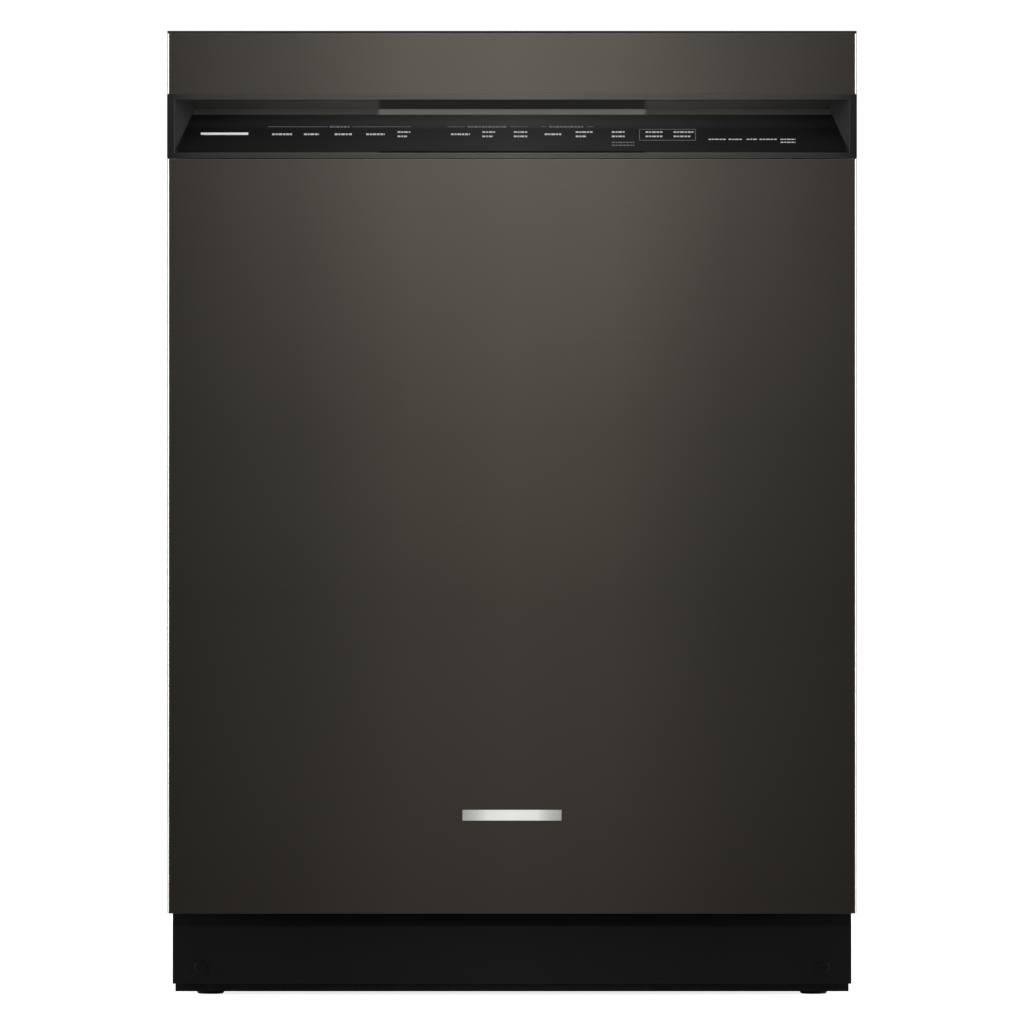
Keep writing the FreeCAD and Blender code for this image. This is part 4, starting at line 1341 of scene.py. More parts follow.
@dataclass
class InnerDoor(SubAssembly):
    """The inner pan with its felt, latch, dispenser, vent, seal and screws."""

    screw_count: int = 5
    screw_first: float = 0.18
    screw_gap: float = 0.16
    screw_depth: float = -0.286
    felt_radius: float = 5.0 * MM

    def felt(self) -> None:
        """The soft pad behind the outer panel."""
        low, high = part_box("door_insulation")
        shape = soft_block(low, high, 30, self.felt_radius, 1.6 * MM, ())
        pad = shape.object("door_felt_pad", self.shop.palette["needled_felt"], 80.0)
        self.place(pad, "door_insulation")

    def screws(self) -> None:
        """The five screws down each side of the pan."""
        place = (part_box("door_screws")[1].x, self.screw_depth, self.screw_first)
        head = cross_screw(3.8 * MM, 1.8 * MM, place, "x", self.shop)
        right = self.shop.rows.run(head, "door_screws_right", Count=self.screw_count, Step=(0.0, 0.0, self.screw_gap),
                                   Finish=self.shop.palette["plated_steel"])
        left = mirrored_copy(right)
        self.place(joined("door_screw_heads", (right, left)), "door_screws")

    def vent(self) -> None:
        """The round vent with its rim and slats."""
        low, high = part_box("door_vent")
        centre = ((low.x + high.x) / 2, 0.0, (low.z + high.z) / 2)
        radius, face = (high.x - low.x) / 2, high.y
        rim = Shape().lathe([(radius * 0.72, low.y), (radius * 0.8, low.y), (radius * 0.8, face - 5 * MM),
                             (radius, face - 5 * MM), (radius, face - 1 * MM), (radius - 1 * MM, face),
                             (radius * 0.8, face), (radius * 0.72, face - 2 * MM), (radius * 0.72, low.y)],
                            centre, "y", 48)
        rim.lathe([(0.0, face - 9 * MM), (radius * 0.75, face - 9 * MM), (radius * 0.75, face - 8 * MM),
                   (0.0, face - 8 * MM)], centre, "y", 48)
        ring = rim.object("vent_rim", self.shop.palette["grey_plastic"])
        slats = []
        for index in range(9):
            height = (index - 4) * 5.4 * MM
            half = math.sqrt(max((radius * 0.74) ** 2 - height ** 2, 0.0))
            slat = Shape().block((centre[0] - half, face - 7 * MM, centre[2] + height - 0.9 * MM),
                                 (centre[0] + half, face - 1.5 * MM, centre[2] + height + 0.9 * MM), 0.4 * MM, 2)
            slats.append(slat.object(f"slat_{index}", self.shop.palette["grey_plastic"]))
        self.place(joined("vent_with_slats", [ring, *slats]), "door_vent")

    def dispenser(self) -> None:
        """The dispenser, its lid with a finger edge and the rinse cap with a rib."""
        self.polish("detergent_dispenser", "grey_plastic", 1.2 * MM)
        self.polish("detergent_lid", "grey_plastic", 0.6 * MM)
        low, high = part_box("rinse_aid_cap")
        centre = ((low.x + high.x) / 2, 0.0, (low.z + high.z) / 2)
        radius, disc = (high.x - low.x) / 2, low.y + 2.7 * MM
        cap = Shape().lathe([(0.0, low.y), (radius - 1 * MM, low.y), (radius, low.y + 0.8 * MM),
                             (radius, disc - 1 * MM), (radius - 1.2 * MM, disc), (radius - 4 * MM, disc - 0.5 * MM),
                             (0.0, disc - 0.5 * MM)], centre, "y", 40)
        cap.block((centre[0] - 2.5 * MM, disc - 1 * MM, centre[2] - 12 * MM),
                  (centre[0] + 2.5 * MM, high.y, centre[2] + 12 * MM), 1.1 * MM)
        self.place(cap.object("rinse_cap_knob", self.shop.palette["blue_plastic"]), "rinse_aid_cap")

    def seal(self) -> None:
        """The rubber lip along the pan's lower edge."""
        low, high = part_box("door_bottom_seal")
        lip = Shape().prism([(low.y, low.z), (high.y - 0.4 * MM, low.z), (high.y, low.z + 2 * MM),
                             (low.y + 0.8 * MM, low.z + 5 * MM), (low.y + 0.8 * MM, high.z), (low.y, high.z)],
                            0, low.x, high.x, 0.2 * MM)
        self.place(lip.object("door_seal_lip", self.shop.palette["seal_rubber"]), "door_bottom_seal")

    def build(self) -> None:
        """Builds the inner door."""
        self.polish("door_inner_panel", "tub_steel", 0.35 * MM)
        self.polish("door_latch", "black_plastic", 0.7 * MM)
        self.polish("control_module", "motor_enamel", 1.5 * MM)
        self.felt()
        self.screws()
        self.vent()
        self.dispenser()
        self.seal()


@dataclass
class Tub(SubAssembly):
    """The stainless tub, its gasket and the felt cover around it."""

    gasket_radius: float = 3.1 * MM
    gasket_bend: float = 9.0 * MM
    felt_thick: float = 9.0 * MM
    felt_radius: float = 16.0 * MM

    def gasket(self) -> None:
        """The bulb seal that runs up both sides and over the mouth."""
        low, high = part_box("tub_gasket")
        across, up, depth = high.x - 3.5 * MM, high.z - 2.6 * MM, low.y + 0.4 * MM + self.gasket_radius
        path = path_object([(-across, depth, low.z), (-across, depth, up), (across, depth, up),
                            (across, depth, low.z)])
        bulb = self.shop.wires.run(path, "tub_bulb_seal", Wire_Radius=self.gasket_radius,
                                   Bend_Radius=self.gasket_bend, Finish=self.shop.palette["seal_rubber"])
        self.place(bulb, "tub_gasket")

    def felt(self) -> None:
        """The soft cover over the tub's sides, top and back."""
        low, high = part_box("insulation_blanket")
        shape = soft_block(low, high, 34, self.felt_radius, 3.0 * MM, ("front", "bottom"))
        cover = shape.object("tub_felt_cover", self.shop.palette["needled_felt"], 80.0)
        wall = cover.modifiers.new("thickness", "SOLIDIFY")
        wall.thickness = self.felt_thick
        wall.offset = -1.0
        wall.use_even_offset = True
        smooth = cover.modifiers.new("rounding", "SUBSURF")
        smooth.levels = smooth.render_levels = 1
        self.place(cover, "insulation_blanket")

    def build(self) -> None:
        """Builds the tub."""
        self.paint("tub_steel", "tub_wrapper", "tub_back_panel")
        self.polish("tub_floor_pan", "grey_plastic", 2.0 * MM, 3)
        self.polish("tub_front_frame", "tub_steel", 0.4 * MM)
        self.polish("strike_plate", "plated_steel", 0.5 * MM)
        self.polish("mounting_brackets", "zinc_plate", 0.3 * MM)
        self.gasket()
        self.felt()


@dataclass
class Base(SubAssembly):
    """The side rails, beams, toe panel, access panel, screws and levelling legs."""

    screw_across: float = 0.276
    screw_up: float = 0.0246
    thread_pitch: float = 2.0 * MM
    thread_deep: float = 0.7 * MM

    def toe(self) -> None:
        """The toe panel, whose sloped shoulder lies in the door's shade."""
        piece = self.polish("toe_panel", "toe_coat", 0.35 * MM)
        piece.data.materials.append(self.shop.palette["shoulder_shade"])
        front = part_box("toe_panel")[0].y + 0.1 * MM
        bend = max(vertex.co.z for vertex in frame["nodes"]["toe_panel"].data.vertices if vertex.co.y < front)
        # Faces above the bend get the door's painted shadow.
        for face in piece.data.polygons:
            if face.center.z > bend:
                face.material_index = 1

    def toe_screws(self) -> None:
        """The two screws that hold the toe panel."""
        low, _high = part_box("toe_panel_screws")
        head = cross_screw(6.0 * MM, 1.6 * MM, (-self.screw_across, low.y, self.screw_up), "-y", self.shop)
        heads = self.shop.rows.run(head, "toe_screw_heads", Count=2, Step=(2 * self.screw_across, 0.0, 0.0),
                                   Finish=self.shop.palette["toe_coat"])
        self.place(heads, "toe_panel_screws")

    def leg(self, node: str) -> None:
        """One levelling leg: a rounded foot, a hexagon and a threaded stem.

        Args:
            node: The CAD node it stands for.
        """
        low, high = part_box(node)
        centre = ((low.x + high.x) / 2, (low.y + high.y) / 2, 0.0)
        foot, stem = (high.x - low.x) / 2, 6.0 * MM
        profile = [(0.0, 0.0), (foot - 1.5 * MM, 0.0), (foot - 0.5 * MM, 0.4 * MM), (foot, 1.6 * MM),
                   (foot, 6.0 * MM), (foot - 1.0 * MM, 7.2 * MM), (8.0 * MM, 9.0 * MM), (stem - 1 * MM, 9.2 * MM)]
        height = 20.0 * MM
        while height + self.thread_pitch < high.z - 1.5 * MM:
            profile += [(stem - self.thread_deep, height), (stem - 0.06 * MM, height + self.thread_pitch / 2)]
            height += self.thread_pitch
        profile += [(stem - self.thread_deep, height), (stem - 1.6 * MM, high.z), (0.0, high.z)]
        shape = Shape().lathe(profile, centre, "z", 24)
        shape.lathe([(0.0, 8.0 * MM), (7.4 * MM, 8.0 * MM), (8.0 * MM, 8.8 * MM), (8.0 * MM, 19.2 * MM),
                     (7.4 * MM, 20.0 * MM), (0.0, 20.0 * MM)], centre, "z", 6)
        piece = shape.object(node + "_threaded", self.shop.palette["plated_steel"], 25.0)
        piece.data.materials.append(self.shop.palette["toe_coat"])
        for face in piece.data.polygons:
            if face.center.z < 8.5 * MM:
                face.material_index = 1
        self.place(piece, node)

    def build(self) -> None:
        """Builds the base."""
        self.polish("base_side_rails", "zinc_plate", 0.4 * MM)
        self.polish("base_crossmembers", "zinc_plate", 0.5 * MM)
        self.toe()
        self.polish("access_panel", "toe_coat", 0.35 * MM)
        self.toe_screws()
        for node in ("front_left_leg", "front_right_leg", "rear_left_leg", "rear_right_leg"):
            self.leg(node)


@dataclass
class Hinges(SubAssembly):
    """The hinge brackets, arms, links and extension springs."""

    spring_wire: float = 0.9 * MM
    turns: float = 66.0
    link_thick: float = 1.5 * MM
    bend_reach: float = 17.0 * MM
    bend_steps: int = 24
    rivet_radius: float = 2.0 * MM
    coil_radius: float = 4.5 * MM
    coil_across: float = 0.2913
    plate_across: tuple[float, float] = (0.29, 0.293)

    def links(self) -> None:
        """The flat links to the springs, cut across in short steps over their front ends near the hinge, and their
        rivets.
        """
        low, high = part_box("spring_links")
        hinge = next(joint for joint in frame["record"]["behaviour"]["joints"] if joint["name"] == "door_hinge")
        pivot = hinge["pos_m"][1]
        strap = Shape().block((high.x - self.link_thick, low.y, low.z), high, 0.3 * MM, 2)
        for step in range(self.bend_steps + 1):
            place = pivot + self.bend_reach * step / self.bend_steps
            parts = [*strap.mesh.verts, *strap.mesh.edges, *strap.mesh.faces]
            bmesh.ops.bisect_plane(strap.mesh, geom=parts, plane_co=(0.0, place, 0.0), plane_no=(0.0, 1.0, 0.0))
        links = strap.mirror().object("spring_link_straps", self.shop.palette["drawn_steel"])
        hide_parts("spring_links")
        middle = (low.z + high.z) / 2
        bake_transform(links)
        head = [(0.0, high.x), (self.rivet_radius, high.x), (self.rivet_radius, high.x + 0.5 * MM),
                (0.6 * self.rivet_radius, high.x + 1.0 * MM), (0.0, high.x + 1.0 * MM)]
        rivets = Shape().lathe(head, (0.0, low.y + 1.3 * self.rivet_radius, middle), "x", 20).mirror()
        self.place(rivets.object("link_rivets", self.shop.palette["plated_steel"]), body="door",
                   slot=self.shop.slots["spring_links"])

    def springs(self) -> None:
        """The two close-wound extension springs with their anchor plates."""
        low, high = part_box("door_springs")
        end = high.y - 10.0 * MM
        coil_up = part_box("spring_links")[0].z + 3.0 * MM
        pieces = []
        for side in (-1, 1):
            across = side * self.coil_across
            coil = self.shop.coils.run(f"spring_{side}", self.turns, self.coil_radius - self.spring_wire,
                                       end - low.y - 6 * MM, self.spring_wire, (across, low.y + 3 * MM, coil_up),
                                       self.shop.palette["plated_steel"])
            ends = Shape()
            for start, stop in ((low.y, low.y + 4 * MM), (end - 4 * MM, end)):
                ends.lathe([(0.0, start), (2.4 * MM, start), (3.6 * MM, start + (stop - start) / 2),
                            (2.4 * MM, stop), (0.0, stop)], (across, 0.0, coil_up), "y", 16)
            plate = sorted(side * edge for edge in self.plate_across)
            ends.block((plate[0], end, low.z), (plate[1], high.y, high.z), 0.5 * MM)
            pieces += [coil, ends.object(f"spring_end_{side}", self.shop.palette["plated_steel"])]
        self.place(joined("counter_springs", pieces), "door_springs")

    def build(self) -> None:
        """Builds the hinges."""
        self.polish("hinge_brackets", "zinc_plate", 0.4 * MM)
        self.polish("hinge_arms", "zinc_plate", 0.4 * MM)
        self.links()
        self.springs()


@dataclass
class SprayArm(SubAssembly):
    """One spray arm: a tapered blade on a hub, with a row of nozzles on each side."""

    node: str = "lower_spray_arm"
    hub_radius: float = 26.0 * MM
    tip_half: float = 14.0 * MM
    root_half: float = 24.0 * MM
    step: float = 24.0 * MM

    def build(self) -> None:
        """Builds the arm."""
        low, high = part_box(self.node)
        reach = high.x
        along = (low.y + high.y) / 2
        outline = []
        for sign in (1, -1):
            outline.append((sign * -reach + sign * 5 * MM, along - sign * self.tip_half))
            outline += [(sign * -0.5 * reach, along - sign * (self.tip_half + 4 * MM)),
                        (0.0, along - sign * self.root_half),
                        (sign * 0.5 * reach, along - sign * (self.tip_half + 4 * MM)),
                        (sign * (reach - 5 * MM), along - sign * self.tip_half),
                        (sign * reach, along - sign * (self.tip_half - 5 * MM))]
        bottom, top = low.z + 2 * MM, high.z - 2 * MM
        finish = self.shop.palette["grey_plastic"]
        blade = Shape().prism(outline, 2, bottom, top, 3.0 * MM).object("blade", finish)
        hub = Shape().lathe([(8.3 * MM, low.z), (self.hub_radius - 2 * MM, low.z), (self.hub_radius, low.z + 2 * MM),
                             (self.hub_radius, high.z - 4 * MM), (self.hub_radius - 3 * MM, high.z - 1 * MM),
                             (12 * MM, high.z), (8.3 * MM, high.z - 1 * MM), (8.3 * MM, low.z)],
                            (0.0, along, 0.0), "z", 48).object("hub", finish)
        rim = Shape().lathe([(1.2 * MM, 0.0), (4.2 * MM, 0.0), (3.6 * MM, 1.2 * MM), (2.4 * MM, 1.3 * MM),
                             (1.4 * MM, 0.3 * MM), (1.2 * MM, 0.0)], (0.0, 0.0, 0.0), "z", 16)
        rim.move(Matrix.Translation((-reach + 18 * MM, along, top - 0.1 * MM)))
        count = int((reach - 50 * MM) / self.step) + 1
        nozzles = self.shop.rows.run(rim.object("nozzle", finish), "nozzles", Count=count,
                                     Step=(self.step, 0.0, 0.0), Rows=2,
                                     Row_Step=(2 * reach - 36 * MM - (count - 1) * self.step, 0.0, 0.0),
                                     Finish=finish)
        self.place(joined(self.node + "_moulded", (blade, hub, nozzles)), self.node)


@dataclass
class WashSystem(SubAssembly):
    """The sump, filters, pumps, heater, valve, junction box and feed tube."""

    filter_bars: int = 12

    def filter_cup(self) -> None:
        """The lift-out cup: a plastic frame around a fine gauze wall."""
        low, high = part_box("filter_cup")
        centre = ((low.x + high.x) / 2, (low.y + high.y) / 2, 0.0)
        radius, top = 38.0 * MM, high.z - 8.0 * MM
        frame_part = Shape().lathe([(0.0, low.z), (radius - 4 * MM, low.z), (radius, low.z + 4 * MM),
                                    (radius, low.z + 8 * MM), (radius - 2 * MM, low.z + 8 * MM), (0.0, low.z + 4 * MM)],
                                   centre, "z", 48)
        frame_part.lathe([(radius - 3 * MM, top - 10 * MM), (radius, top - 10 * MM), (radius, top - 2.4 * MM),
                          (radius + 5 * MM, top - 2.4 * MM), (radius + 5 * MM, top - 0.6 * MM),
                          (radius + 4 * MM, top), (radius - 3 * MM, top), (radius - 3 * MM, top - 10 * MM)],
                         centre, "z", 48)
        frame_part.lathe([(0.0, top - 6 * MM), (radius - 2 * MM, top - 6 * MM), (radius - 2 * MM, top - 3 * MM),
                          (0.0, top - 3 * MM)], centre, "z", 48)
        frame_part.block((centre[0] - 20 * MM, centre[1] - 3 * MM, top - 4 * MM),
                         (centre[0] + 20 * MM, centre[1] + 3 * MM, high.z), 2.4 * MM)
        for index in range(self.filter_bars):
            angle = 2 * math.pi * index / self.filter_bars
            part = Shape().block((radius - 2 * MM, -1.4 * MM, low.z + 6 * MM), (radius, 1.4 * MM, top - 8 * MM),
                                 0.4 * MM, 1)
            frame_part.take(part.move(Matrix.Translation(centre) @ Matrix.Rotation(angle, 4, "Z")).mesh)
        self.place(frame_part.object("filter_cup_frame", self.shop.palette["grey_plastic"]), "filter_cup")
        gauze = Shape().lathe([(radius - 1.6 * MM, low.z + 6 * MM), (radius - 0.8 * MM, low.z + 6 * MM),
                               (radius - 0.8 * MM, top - 9 * MM), (radius - 1.6 * MM, top - 9 * MM),
                               (radius - 1.6 * MM, low.z + 6 * MM)], centre, "z", 64)
        self.place(gauze.object("filter_cup_gauze", self.shop.palette["filter_gauze"]), body="filter_cup",
                   slot="filter_steel")

    def pump(self) -> None:
        """The circulation pump with its cooling ribs."""
        low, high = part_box("wash_pump")
        centre = ((low.x + high.x) / 2, 0.0, (low.z + high.z) / 2)
        radius = 32.0 * MM
        finish = self.shop.palette["motor_enamel"]
        barrel = Shape().lathe([(0.0, low.y), (radius - 6 * MM, low.y), (radius - 3 * MM, low.y + 3 * MM),
                                (radius - 3 * MM, high.y - 24 * MM), (26 * MM, high.y - 22 * MM),
                                (26 * MM, high.y - 3 * MM), (23 * MM, high.y), (0.0, high.y)], centre, "y", 48)
        rib = Shape().lathe([(radius - 4 * MM, 0.0), (radius - 0.4 * MM, 0.0), (radius, 0.8 * MM),
                             (radius - 0.4 * MM, 1.8 * MM), (radius - 4 * MM, 1.8 * MM), (radius - 4 * MM, 0.0)],
                            (centre[0], low.y + 10 * MM, centre[2]), "y", 40)
        ribs = self.shop.rows.run(rib.object("rib", finish), "ribs", Count=14, Step=(0.0, 6.0 * MM, 0.0),
                                  Finish=finish)
        self.place(joined("wash_pump_ribbed", (barrel.object("barrel", finish), ribs)), "wash_pump")

    def sprayer(self) -> None:
        """The top sprayer with its ring of jets."""
        low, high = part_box("top_sprayer")
        centre = ((low.x + high.x) / 2, (low.y + high.y) / 2, 0.0)
        radius = (high.x - low.x) / 2
        dish = Shape().lathe([(0.0, low.z + 1 * MM), (10 * MM, low.z + 0.4 * MM), (radius - 5 * MM, low.z),
                              (radius - 1 * MM, low.z + 3 * MM), (radius, low.z + 4.2 * MM),
                              (radius - 3 * MM, low.z + 5 * MM), (14 * MM, high.z - 0.4 * MM), (12 * MM, high.z),
                              (0.0, high.z)], centre, "z", 48)
        for index in range(10):
            angle = 2 * math.pi * index / 10
            jet = Shape().lathe([(1.0 * MM, 0.0), (2.2 * MM, 0.0), (2.2 * MM, 2.0 * MM), (1.0 * MM, 2.0 * MM),
                                 (1.0 * MM, 0.0)],
                                (centre[0] + 22 * MM * math.cos(angle), centre[1] + 22 * MM * math.sin(angle),
                                 low.z + 0.05 * MM), "z", 12)
            dish.take(jet.mesh)
        self.place(dish.object("top_sprayer_jets", self.shop.palette["grey_plastic"]), "top_sprayer")

    def build(self) -> None:
        """Builds the wash system."""
        self.polish("sump_housing", "grey_plastic", 1.5 * MM)
        self.polish("coarse_filter", "filter_gauze", 0.3 * MM)
        self.polish("drain_pump", "light_plastic", 1.2 * MM)
        self.paint("drawn_steel", "heating_element")
        self.polish("water_inlet_valve", "light_plastic", 1.5 * MM)
        self.polish("junction_box", "zinc_plate", 0.4 * MM)
        self.polish("junction_box_cover", "black_plastic", 0.5 * MM)
        self.polish("spray_feed_tube", "grey_plastic", 0.8 * MM)
        self.polish("overfill_float", "light_plastic", 1.0 * MM)
        self.filter_cup()
        self.pump()
        self.sprayer()
        SprayArm(self.shop, node="lower_spray_arm").build()
        SprayArm(self.shop, node="middle_spray_arm").build()


@dataclass
class WireRack(SubAssembly):
    """One coated wire rack: bent hoops both ways, a rim, a middle band and tines."""

    node: str = "upper_rack"
    hoops: int = 12
    runs: int = 9
    wire: float = 2.5 * MM
    rim: float = 3.2 * MM
    bend: float = 13.0 * MM
    tine_xs: tuple[float, ...] = (-0.122, 0.122)
    tine_first: float = -0.18
    tine_last: float = 0.19
    tine_count: int = 9
    tine_height: float = 60.0 * MM
    tine_radius: float = 2.0 * MM

    def bent(self, points: Sequence[Point], closed: bool, radius: float, **repeat: object) -> bpy.types.Object:
        """One bent wire, or a row of them.

        Args:
            points: The path's corners.
            closed: True for a loop.
            radius: The wire's radius.
            **repeat: Count and Step for a row.

        Returns:
            The object.
        """
        return self.shop.wires.run(path_object(points, closed), "wire", Wire_Radius=radius, Bend_Radius=self.bend,
                                   Finish=self.shop.palette["vinyl_coat"], **repeat)

    def build(self) -> None:
        """Builds the rack."""
        low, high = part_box(self.node)
        half, front, back = high.x - self.rim, low.y + self.rim, high.y - self.rim
        bottom, top = low.z + self.wire, high.z - self.rim
        hoop_gap = (back - front) / (self.hoops - 1)
        run_gap = 2 * half / (self.runs - 1)
        first, side = front + hoop_gap, -half + run_gap
        pieces = [
            self.bent([(-half, front, level), (half, front, level), (half, back, level), (-half, back, level)],
                      True, radius)
            for level, radius in ((top, self.rim), ((bottom + top) / 2, self.wire), (bottom, self.wire))
        ]
        pieces += [
            self.bent([(-half, first, top), (-half, first, bottom), (half, first, bottom), (half, first, top)],
                      False, self.wire, Count=self.hoops - 2, Step=(0.0, hoop_gap, 0.0)),
            self.bent([(side, front, top), (side, front, bottom), (side, back, bottom), (side, back, top)],
                      False, self.wire, Count=self.runs - 2, Step=(run_gap, 0.0, 0.0)),
        ]
        spike_profile = [(0.0, bottom), (self.tine_radius, bottom),
                         (self.tine_radius, bottom + self.tine_height * 0.97),
                         (self.tine_radius * 0.7, bottom + self.tine_height * 0.99), (0.0, bottom + self.tine_height)]
        gap = (self.tine_last - self.tine_first) / (self.tine_count - 1)
        for across in self.tine_xs:
            spike = Shape().lathe(spike_profile, (across, self.tine_first, 0.0), "z", 8)
            spike_object = spike.object("spike", self.shop.palette["vinyl_coat"])
            pieces.append(self.shop.rows.run(spike_object, "spikes", Count=self.tine_count, Step=(0.0, gap, 0.0),
                                             Finish=self.shop.palette["vinyl_coat"]))
            rail = [(across, front, bottom), (across, back, bottom)]
            pieces.append(self.bent(rail, False, self.wire))
        self.place(joined(self.node + "_wires", pieces), self.node)


@dataclass
class SilverwareBasket(SubAssembly):
    """The moulded lattice basket with four cells."""

    bar: float = 2.0 * MM
    inset: float = 0.3 * MM
    bar_gap: float = 7.8 * MM
    walls_y: tuple[float, ...] = (-0.19, -0.11225, -0.035, 0.04225, 0.1196)
    bands: tuple[float, ...] = (0.0, 0.042, 0.084, 0.1205)
    band_height: float = 7.0 * MM

    def rows_of_bars(self, low: Point, high: Point, count: int, step: Point, rows: int = 1,
                     row_step: Point = (0.0, 0.0, 0.0)) -> bpy.types.Object:
        """A row of square bars.

        Args:
            low: The first bar's lowest corner.
            high: Its highest corner.
            count: Bars in a row.
            step: From bar to bar.
            rows: Rows.
            row_step: From row to row.

        Returns:
            The object.
        """
        finish = self.shop.palette["grey_plastic"]
        bar = Shape().block(low, high, 0.35 * MM, 1).object("bar", finish)
        return self.shop.rows.run(bar, "bars", Count=count, Step=step, Rows=rows, Row_Step=row_step, Finish=finish)

    def build(self) -> None:
        """Builds the basket."""
        low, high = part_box("silverware_basket")
        wide = high.x - low.x
        side_count = int((high.y - low.y - self.bar) / self.bar_gap) + 1
        end_count = int((wide - self.bar) / self.bar_gap) + 1
        across = (wide - self.bar) / (end_count - 1)
        along = (high.y - low.y - self.bar - 2 * self.inset) / (side_count - 1)
        side_y = low.y + self.inset
        pieces = [
            self.rows_of_bars((low.x + 0.2 * MM, side_y, low.z), (low.x + self.bar, side_y + self.bar, high.z),
                              side_count, (0.0, along, 0.0), 2, (wide - self.bar - 0.2 * MM, 0.0, 0.0)),
            self.rows_of_bars((low.x + self.inset, side_y, low.z + 0.5 * self.inset),
                              (high.x - self.inset, side_y + 0.8 * self.bar, low.z + self.bar), side_count,
                              (0.0, along, 0.0)),
            self.rows_of_bars((low.x + 0.5 * self.inset, side_y, low.z + self.inset),
                              (low.x + 0.8 * self.bar, high.y - self.inset, low.z + 1.2 * self.bar), end_count,
                              (across, 0.0, 0.0)),
        ]
        for place in self.walls_y:
            pieces.append(self.rows_of_bars((low.x, place, low.z), (low.x + self.bar, place + self.bar, high.z),
                                            end_count, (across, 0.0, 0.0)))
            for level in self.bands:
                base = low.z + level + 0.6 * self.inset
                pieces.append(self.rows_of_bars((low.x + 1.5 * self.inset, place + 1.3 * self.inset, base),
                                                (high.x - 1.5 * self.inset, place + self.bar - 1.3 * self.inset,
                                                 min(base + self.band_height, high.z - 0.8 * self.inset)), 1,
                                                (0.0, 0.0, 0.0)))
        for level in self.bands:
            base = low.z + level + 0.3 * self.inset
            pieces.append(self.rows_of_bars((low.x + 2 * self.inset, low.y + 2 * self.inset, base),
                                            (low.x + self.bar - 0.5 * self.inset, high.y - 2 * self.inset,
                                             min(base + self.band_height, high.z - 1.2 * self.inset)), 1,
                                            (0.0, 0.0, 0.0), 2, (wide - self.bar - 1.5 * self.inset, 0.0, 0.0)))
        self.place(joined("silverware_lattice", pieces), "silverware_basket")


@dataclass
class Slides(SubAssembly):
    """The racks' rails, the feed pipe on the upper rack and the lower rack's wheels."""

    wheel_ys: tuple[float, ...] = (-0.15, 0.185)
    wheel_radius: float = 14.0 * MM
    spokes: int = 6
    clip_across: float = 0.2526

    def wheels(self) -> None:
        """The four lower wheels with their stubs and clips."""
        low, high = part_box("lower_rack_wheels")
        inner, plate = high.x - 11 * MM, self.clip_across
        centre_z = low.z + self.wheel_radius
        radius = self.wheel_radius
        shape = Shape()
        for along in self.wheel_ys:
            place = (0.0, along, centre_z)
            shape.lathe([(0.0, inner), (4.5 * MM, inner), (4.5 * MM, inner + 1.5 * MM), (10 * MM, inner + 2.5 * MM),
                         (11 * MM, inner + 0.5 * MM), (radius - 1 * MM, inner), (radius, inner + 1.2 * MM),
                         (radius, high.x - 1.2 * MM), (radius - 1 * MM, high.x), (11 * MM, high.x - 0.5 * MM),
                         (10 * MM, high.x - 2.5 * MM), (4.5 * MM, high.x - 1.5 * MM), (4.5 * MM, high.x - 0.2 * MM),
                         (0.0, high.x - 0.2 * MM)], place, "x", 40)
            for index in range(self.spokes):
                angle = 2 * math.pi / self.spokes * index
                spoke = Shape().block((inner + 0.6 * MM, 4 * MM, -0.8 * MM), (high.x - 0.6 * MM, 11 * MM, 0.8 * MM),
                                      0.3 * MM, 1)
                shape.take(spoke.move(Matrix.Translation(place) @ Matrix.Rotation(angle, 4, "X")).mesh)
            shape.lathe([(0.0, plate), (4 * MM, plate), (4 * MM, inner + 1 * MM), (0.0, inner + 1 * MM)],
                        place, "x", 20)
            shape.block((plate, along - 12 * MM, centre_z - 6 * MM), (plate + 3 * MM, along + 12 * MM, high.z),
                        1.0 * MM)
        shape.mirror()
        self.place(shape.object("rack_wheels_spoked", self.shop.palette["grey_plastic"]), "lower_rack_wheels")

    def build(self) -> None:
        """Builds the slides."""
        for node in ("outer_rails", "mid_rails", "rack_rails"):
            self.polish(node, "drawn_steel", 0.3 * MM)
        self.polish("rack_feed_pipe", "grey_plastic", 0.8 * MM)
        self.wheels()


# ---------------------------------------------------------------- shared shapes


def bevel_edges(mesh: bmesh.types.BMesh, offset: float, angle: float) -> None:
    """Rounds the edges of a bmesh that are sharper than an angle.

    Args:
        mesh: The bmesh.
        offset: The rounding's size.
        angle: The angle in degrees.
    """
    mesh.normal_update()
    limit = math.radians(angle)
    sharp = [e for e in mesh.edges if len(e.link_faces) == 2 and e.calc_face_angle(0.0) > limit]
    bmesh.ops.bevel(mesh, geom=sharp, offset=offset, segments=2, profile=0.5, affect="EDGES", clamp_overlap=True)


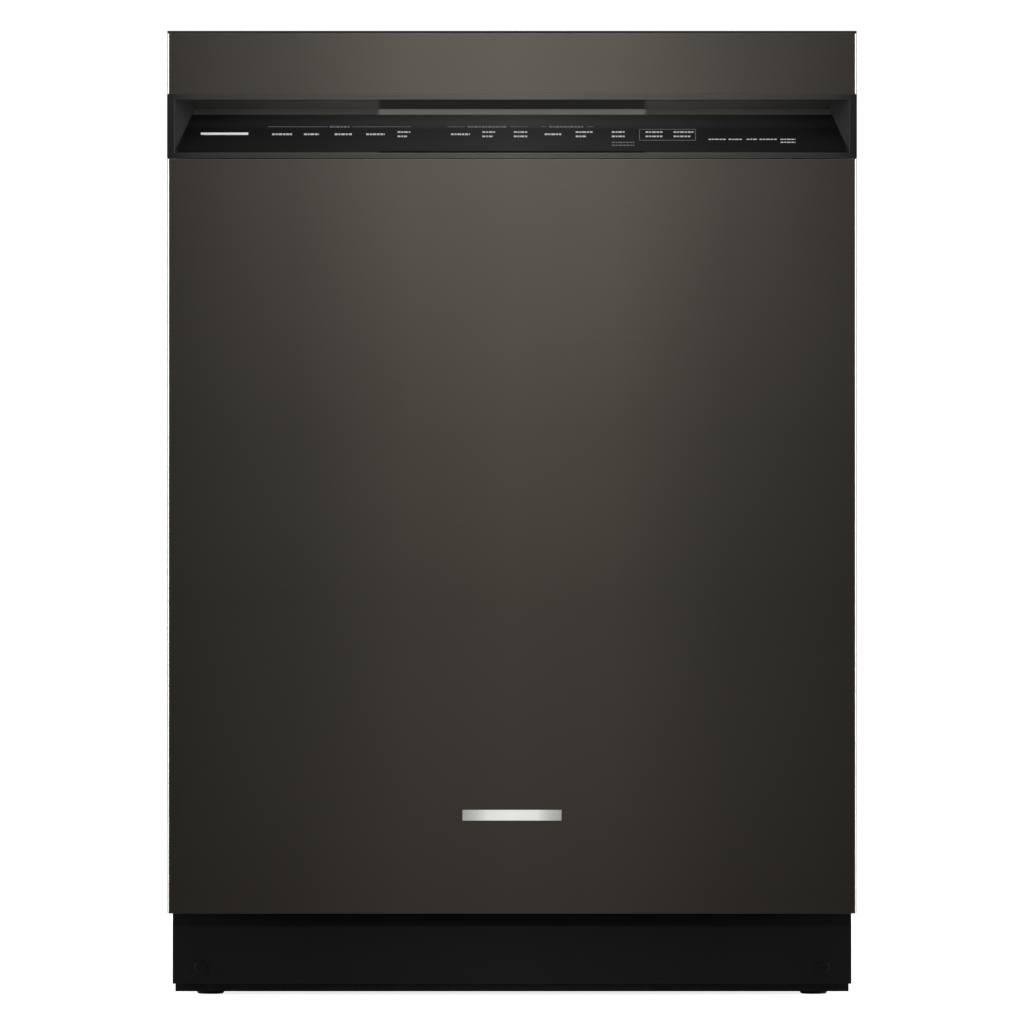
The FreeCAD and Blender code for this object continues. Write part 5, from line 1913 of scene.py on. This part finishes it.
def soft_block(low: Vector, high: Vector, cuts: int, radius: float, sink: float, open_sides: Sequence[str]) -> Shape:
    """A felt slab with rounded edges and a gently uneven surface that never leaves its box.

    Args:
        low: The lowest corner.
        high: The highest corner.
        cuts: How finely each side is divided.
        radius: The edge radius.
        sink: How deep the hollows go.
        open_sides: "front" or "bottom", left out.

    Returns:
        The shape.
    """
    part = cuboid(low, high)
    bmesh.ops.subdivide_edges(part, edges=part.edges, cuts=cuts, use_grid_fill=True)
    part.normal_update()
    gone = [f for f in part.faces if ("front" in open_sides and f.normal.y < -0.9)
            or ("bottom" in open_sides and f.normal.z < -0.9)]
    bmesh.ops.delete(part, geom=gone, context="FACES")
    inner_low, inner_high = low + Vector((radius,) * 3), high - Vector((radius,) * 3)
    if "front" in open_sides:
        inner_low.y = low.y
    if "bottom" in open_sides:
        inner_low.z = low.z
    for vertex in part.verts:
        core = Vector(min(max(vertex.co[axis], inner_low[axis]), inner_high[axis]) for axis in range(3))
        out = vertex.co - core
        if out.length < 1e-9:
            continue
        outward = out.normalized()
        wide_wave = noise.noise(vertex.co * 7.0)
        small_wave = noise.noise(vertex.co * 31.0)
        depth = sink * min(max(0.5 + 0.45 * wide_wave + 0.25 * small_wave, 0.0), 1.0)
        vertex.co = core + outward * (radius - depth)
    bmesh.ops.recalc_face_normals(part, faces=part.faces)
    middle = (high + low) / 2
    outside = [f for f in part.faces if f.normal.dot(f.calc_center_median() - middle) < 0]
    if len(outside) > len(part.faces) / 2:
        bmesh.ops.reverse_faces(part, faces=part.faces)
    return Shape().take(part)


def cross_screw(radius: float, height: float, place: Point, axis: str, shop: Workshop) -> bpy.types.Object:
    """A pan-head screw with a cross recess.

    Args:
        radius: The head's radius.
        height: The head's height.
        place: The middle of the head's outer face.
        axis: x or -y, the way the head faces.
        shop: The workshop.

    Returns:
        The object.
    """
    slot = 0.12 * radius
    shape = Shape().lathe([(0.0, -height), (radius, -height), (radius, -0.55 * height),
                           (0.82 * radius, -0.12 * height), (0.58 * radius, 0.0), (0.56 * radius, -0.3 * height),
                           (0.0, -0.3 * height)], (0.0, 0.0, 0.0), "z", 24)
    for turn in range(4):
        low, high = (slot, slot, -0.3 * height), (0.5 * radius, 0.5 * radius, -0.06 * height)
        part = Shape().block(low, high, 0.05 * radius, 1)
        shape.take(part.move(Matrix.Rotation(math.pi / 2 * turn, 4, "Z")).mesh)
    faces = {"x": Matrix.Rotation(math.pi / 2, 4, "Y"), "-y": Matrix.Rotation(math.pi / 2, 4, "X")}
    return shape.move(Matrix.Translation(place) @ faces[axis]).object("screw", shop.palette["plated_steel"])


def mirrored_copy(item: bpy.types.Object) -> bpy.types.Object:
    """A copy of a mesh object on the other side of the machine.

    Args:
        item: The object.

    Returns:
        The copy.
    """
    data = item.data.copy()
    data.transform(Matrix.Diagonal((-1.0, 1.0, 1.0, 1.0)))
    data.flip_normals()
    return placed(item.name + "_twin", data)


def main() -> None:
    """Builds the studio and every sub-assembly."""
    logging.basicConfig(level=logging.INFO, format="%(name)s: %(message)s")
    record = frame["record"]
    shop = Workshop(
        palette=Palette(),
        wires=RowTree("wire_rows", True),
        rows=RowTree("solid_rows", False),
        coils=CoilTree(),
        slots={part["node"]: part["material_slot"] for part in record["subparts"]},
        bodies={node: body for body, nodes in record["behaviour"]["bodies"].items() for node in nodes},
    )
    Studio().build()
    for assembly in (
        OuterDoor(shop), Console(shop), InnerDoor(shop), Tub(shop), Base(shop), Hinges(shop), WashSystem(shop),
        WireRack(shop, node="upper_rack"),
        WireRack(shop, node="lower_rack", tine_xs=(-0.18, -0.09, 0.0, 0.09), tine_height=85.0 * MM),
        SilverwareBasket(shop), Slides(shop),
    ):
        assembly.build()
        LOG.info("%s is built", type(assembly).__name__)


if __name__ == "__main__":
    main()
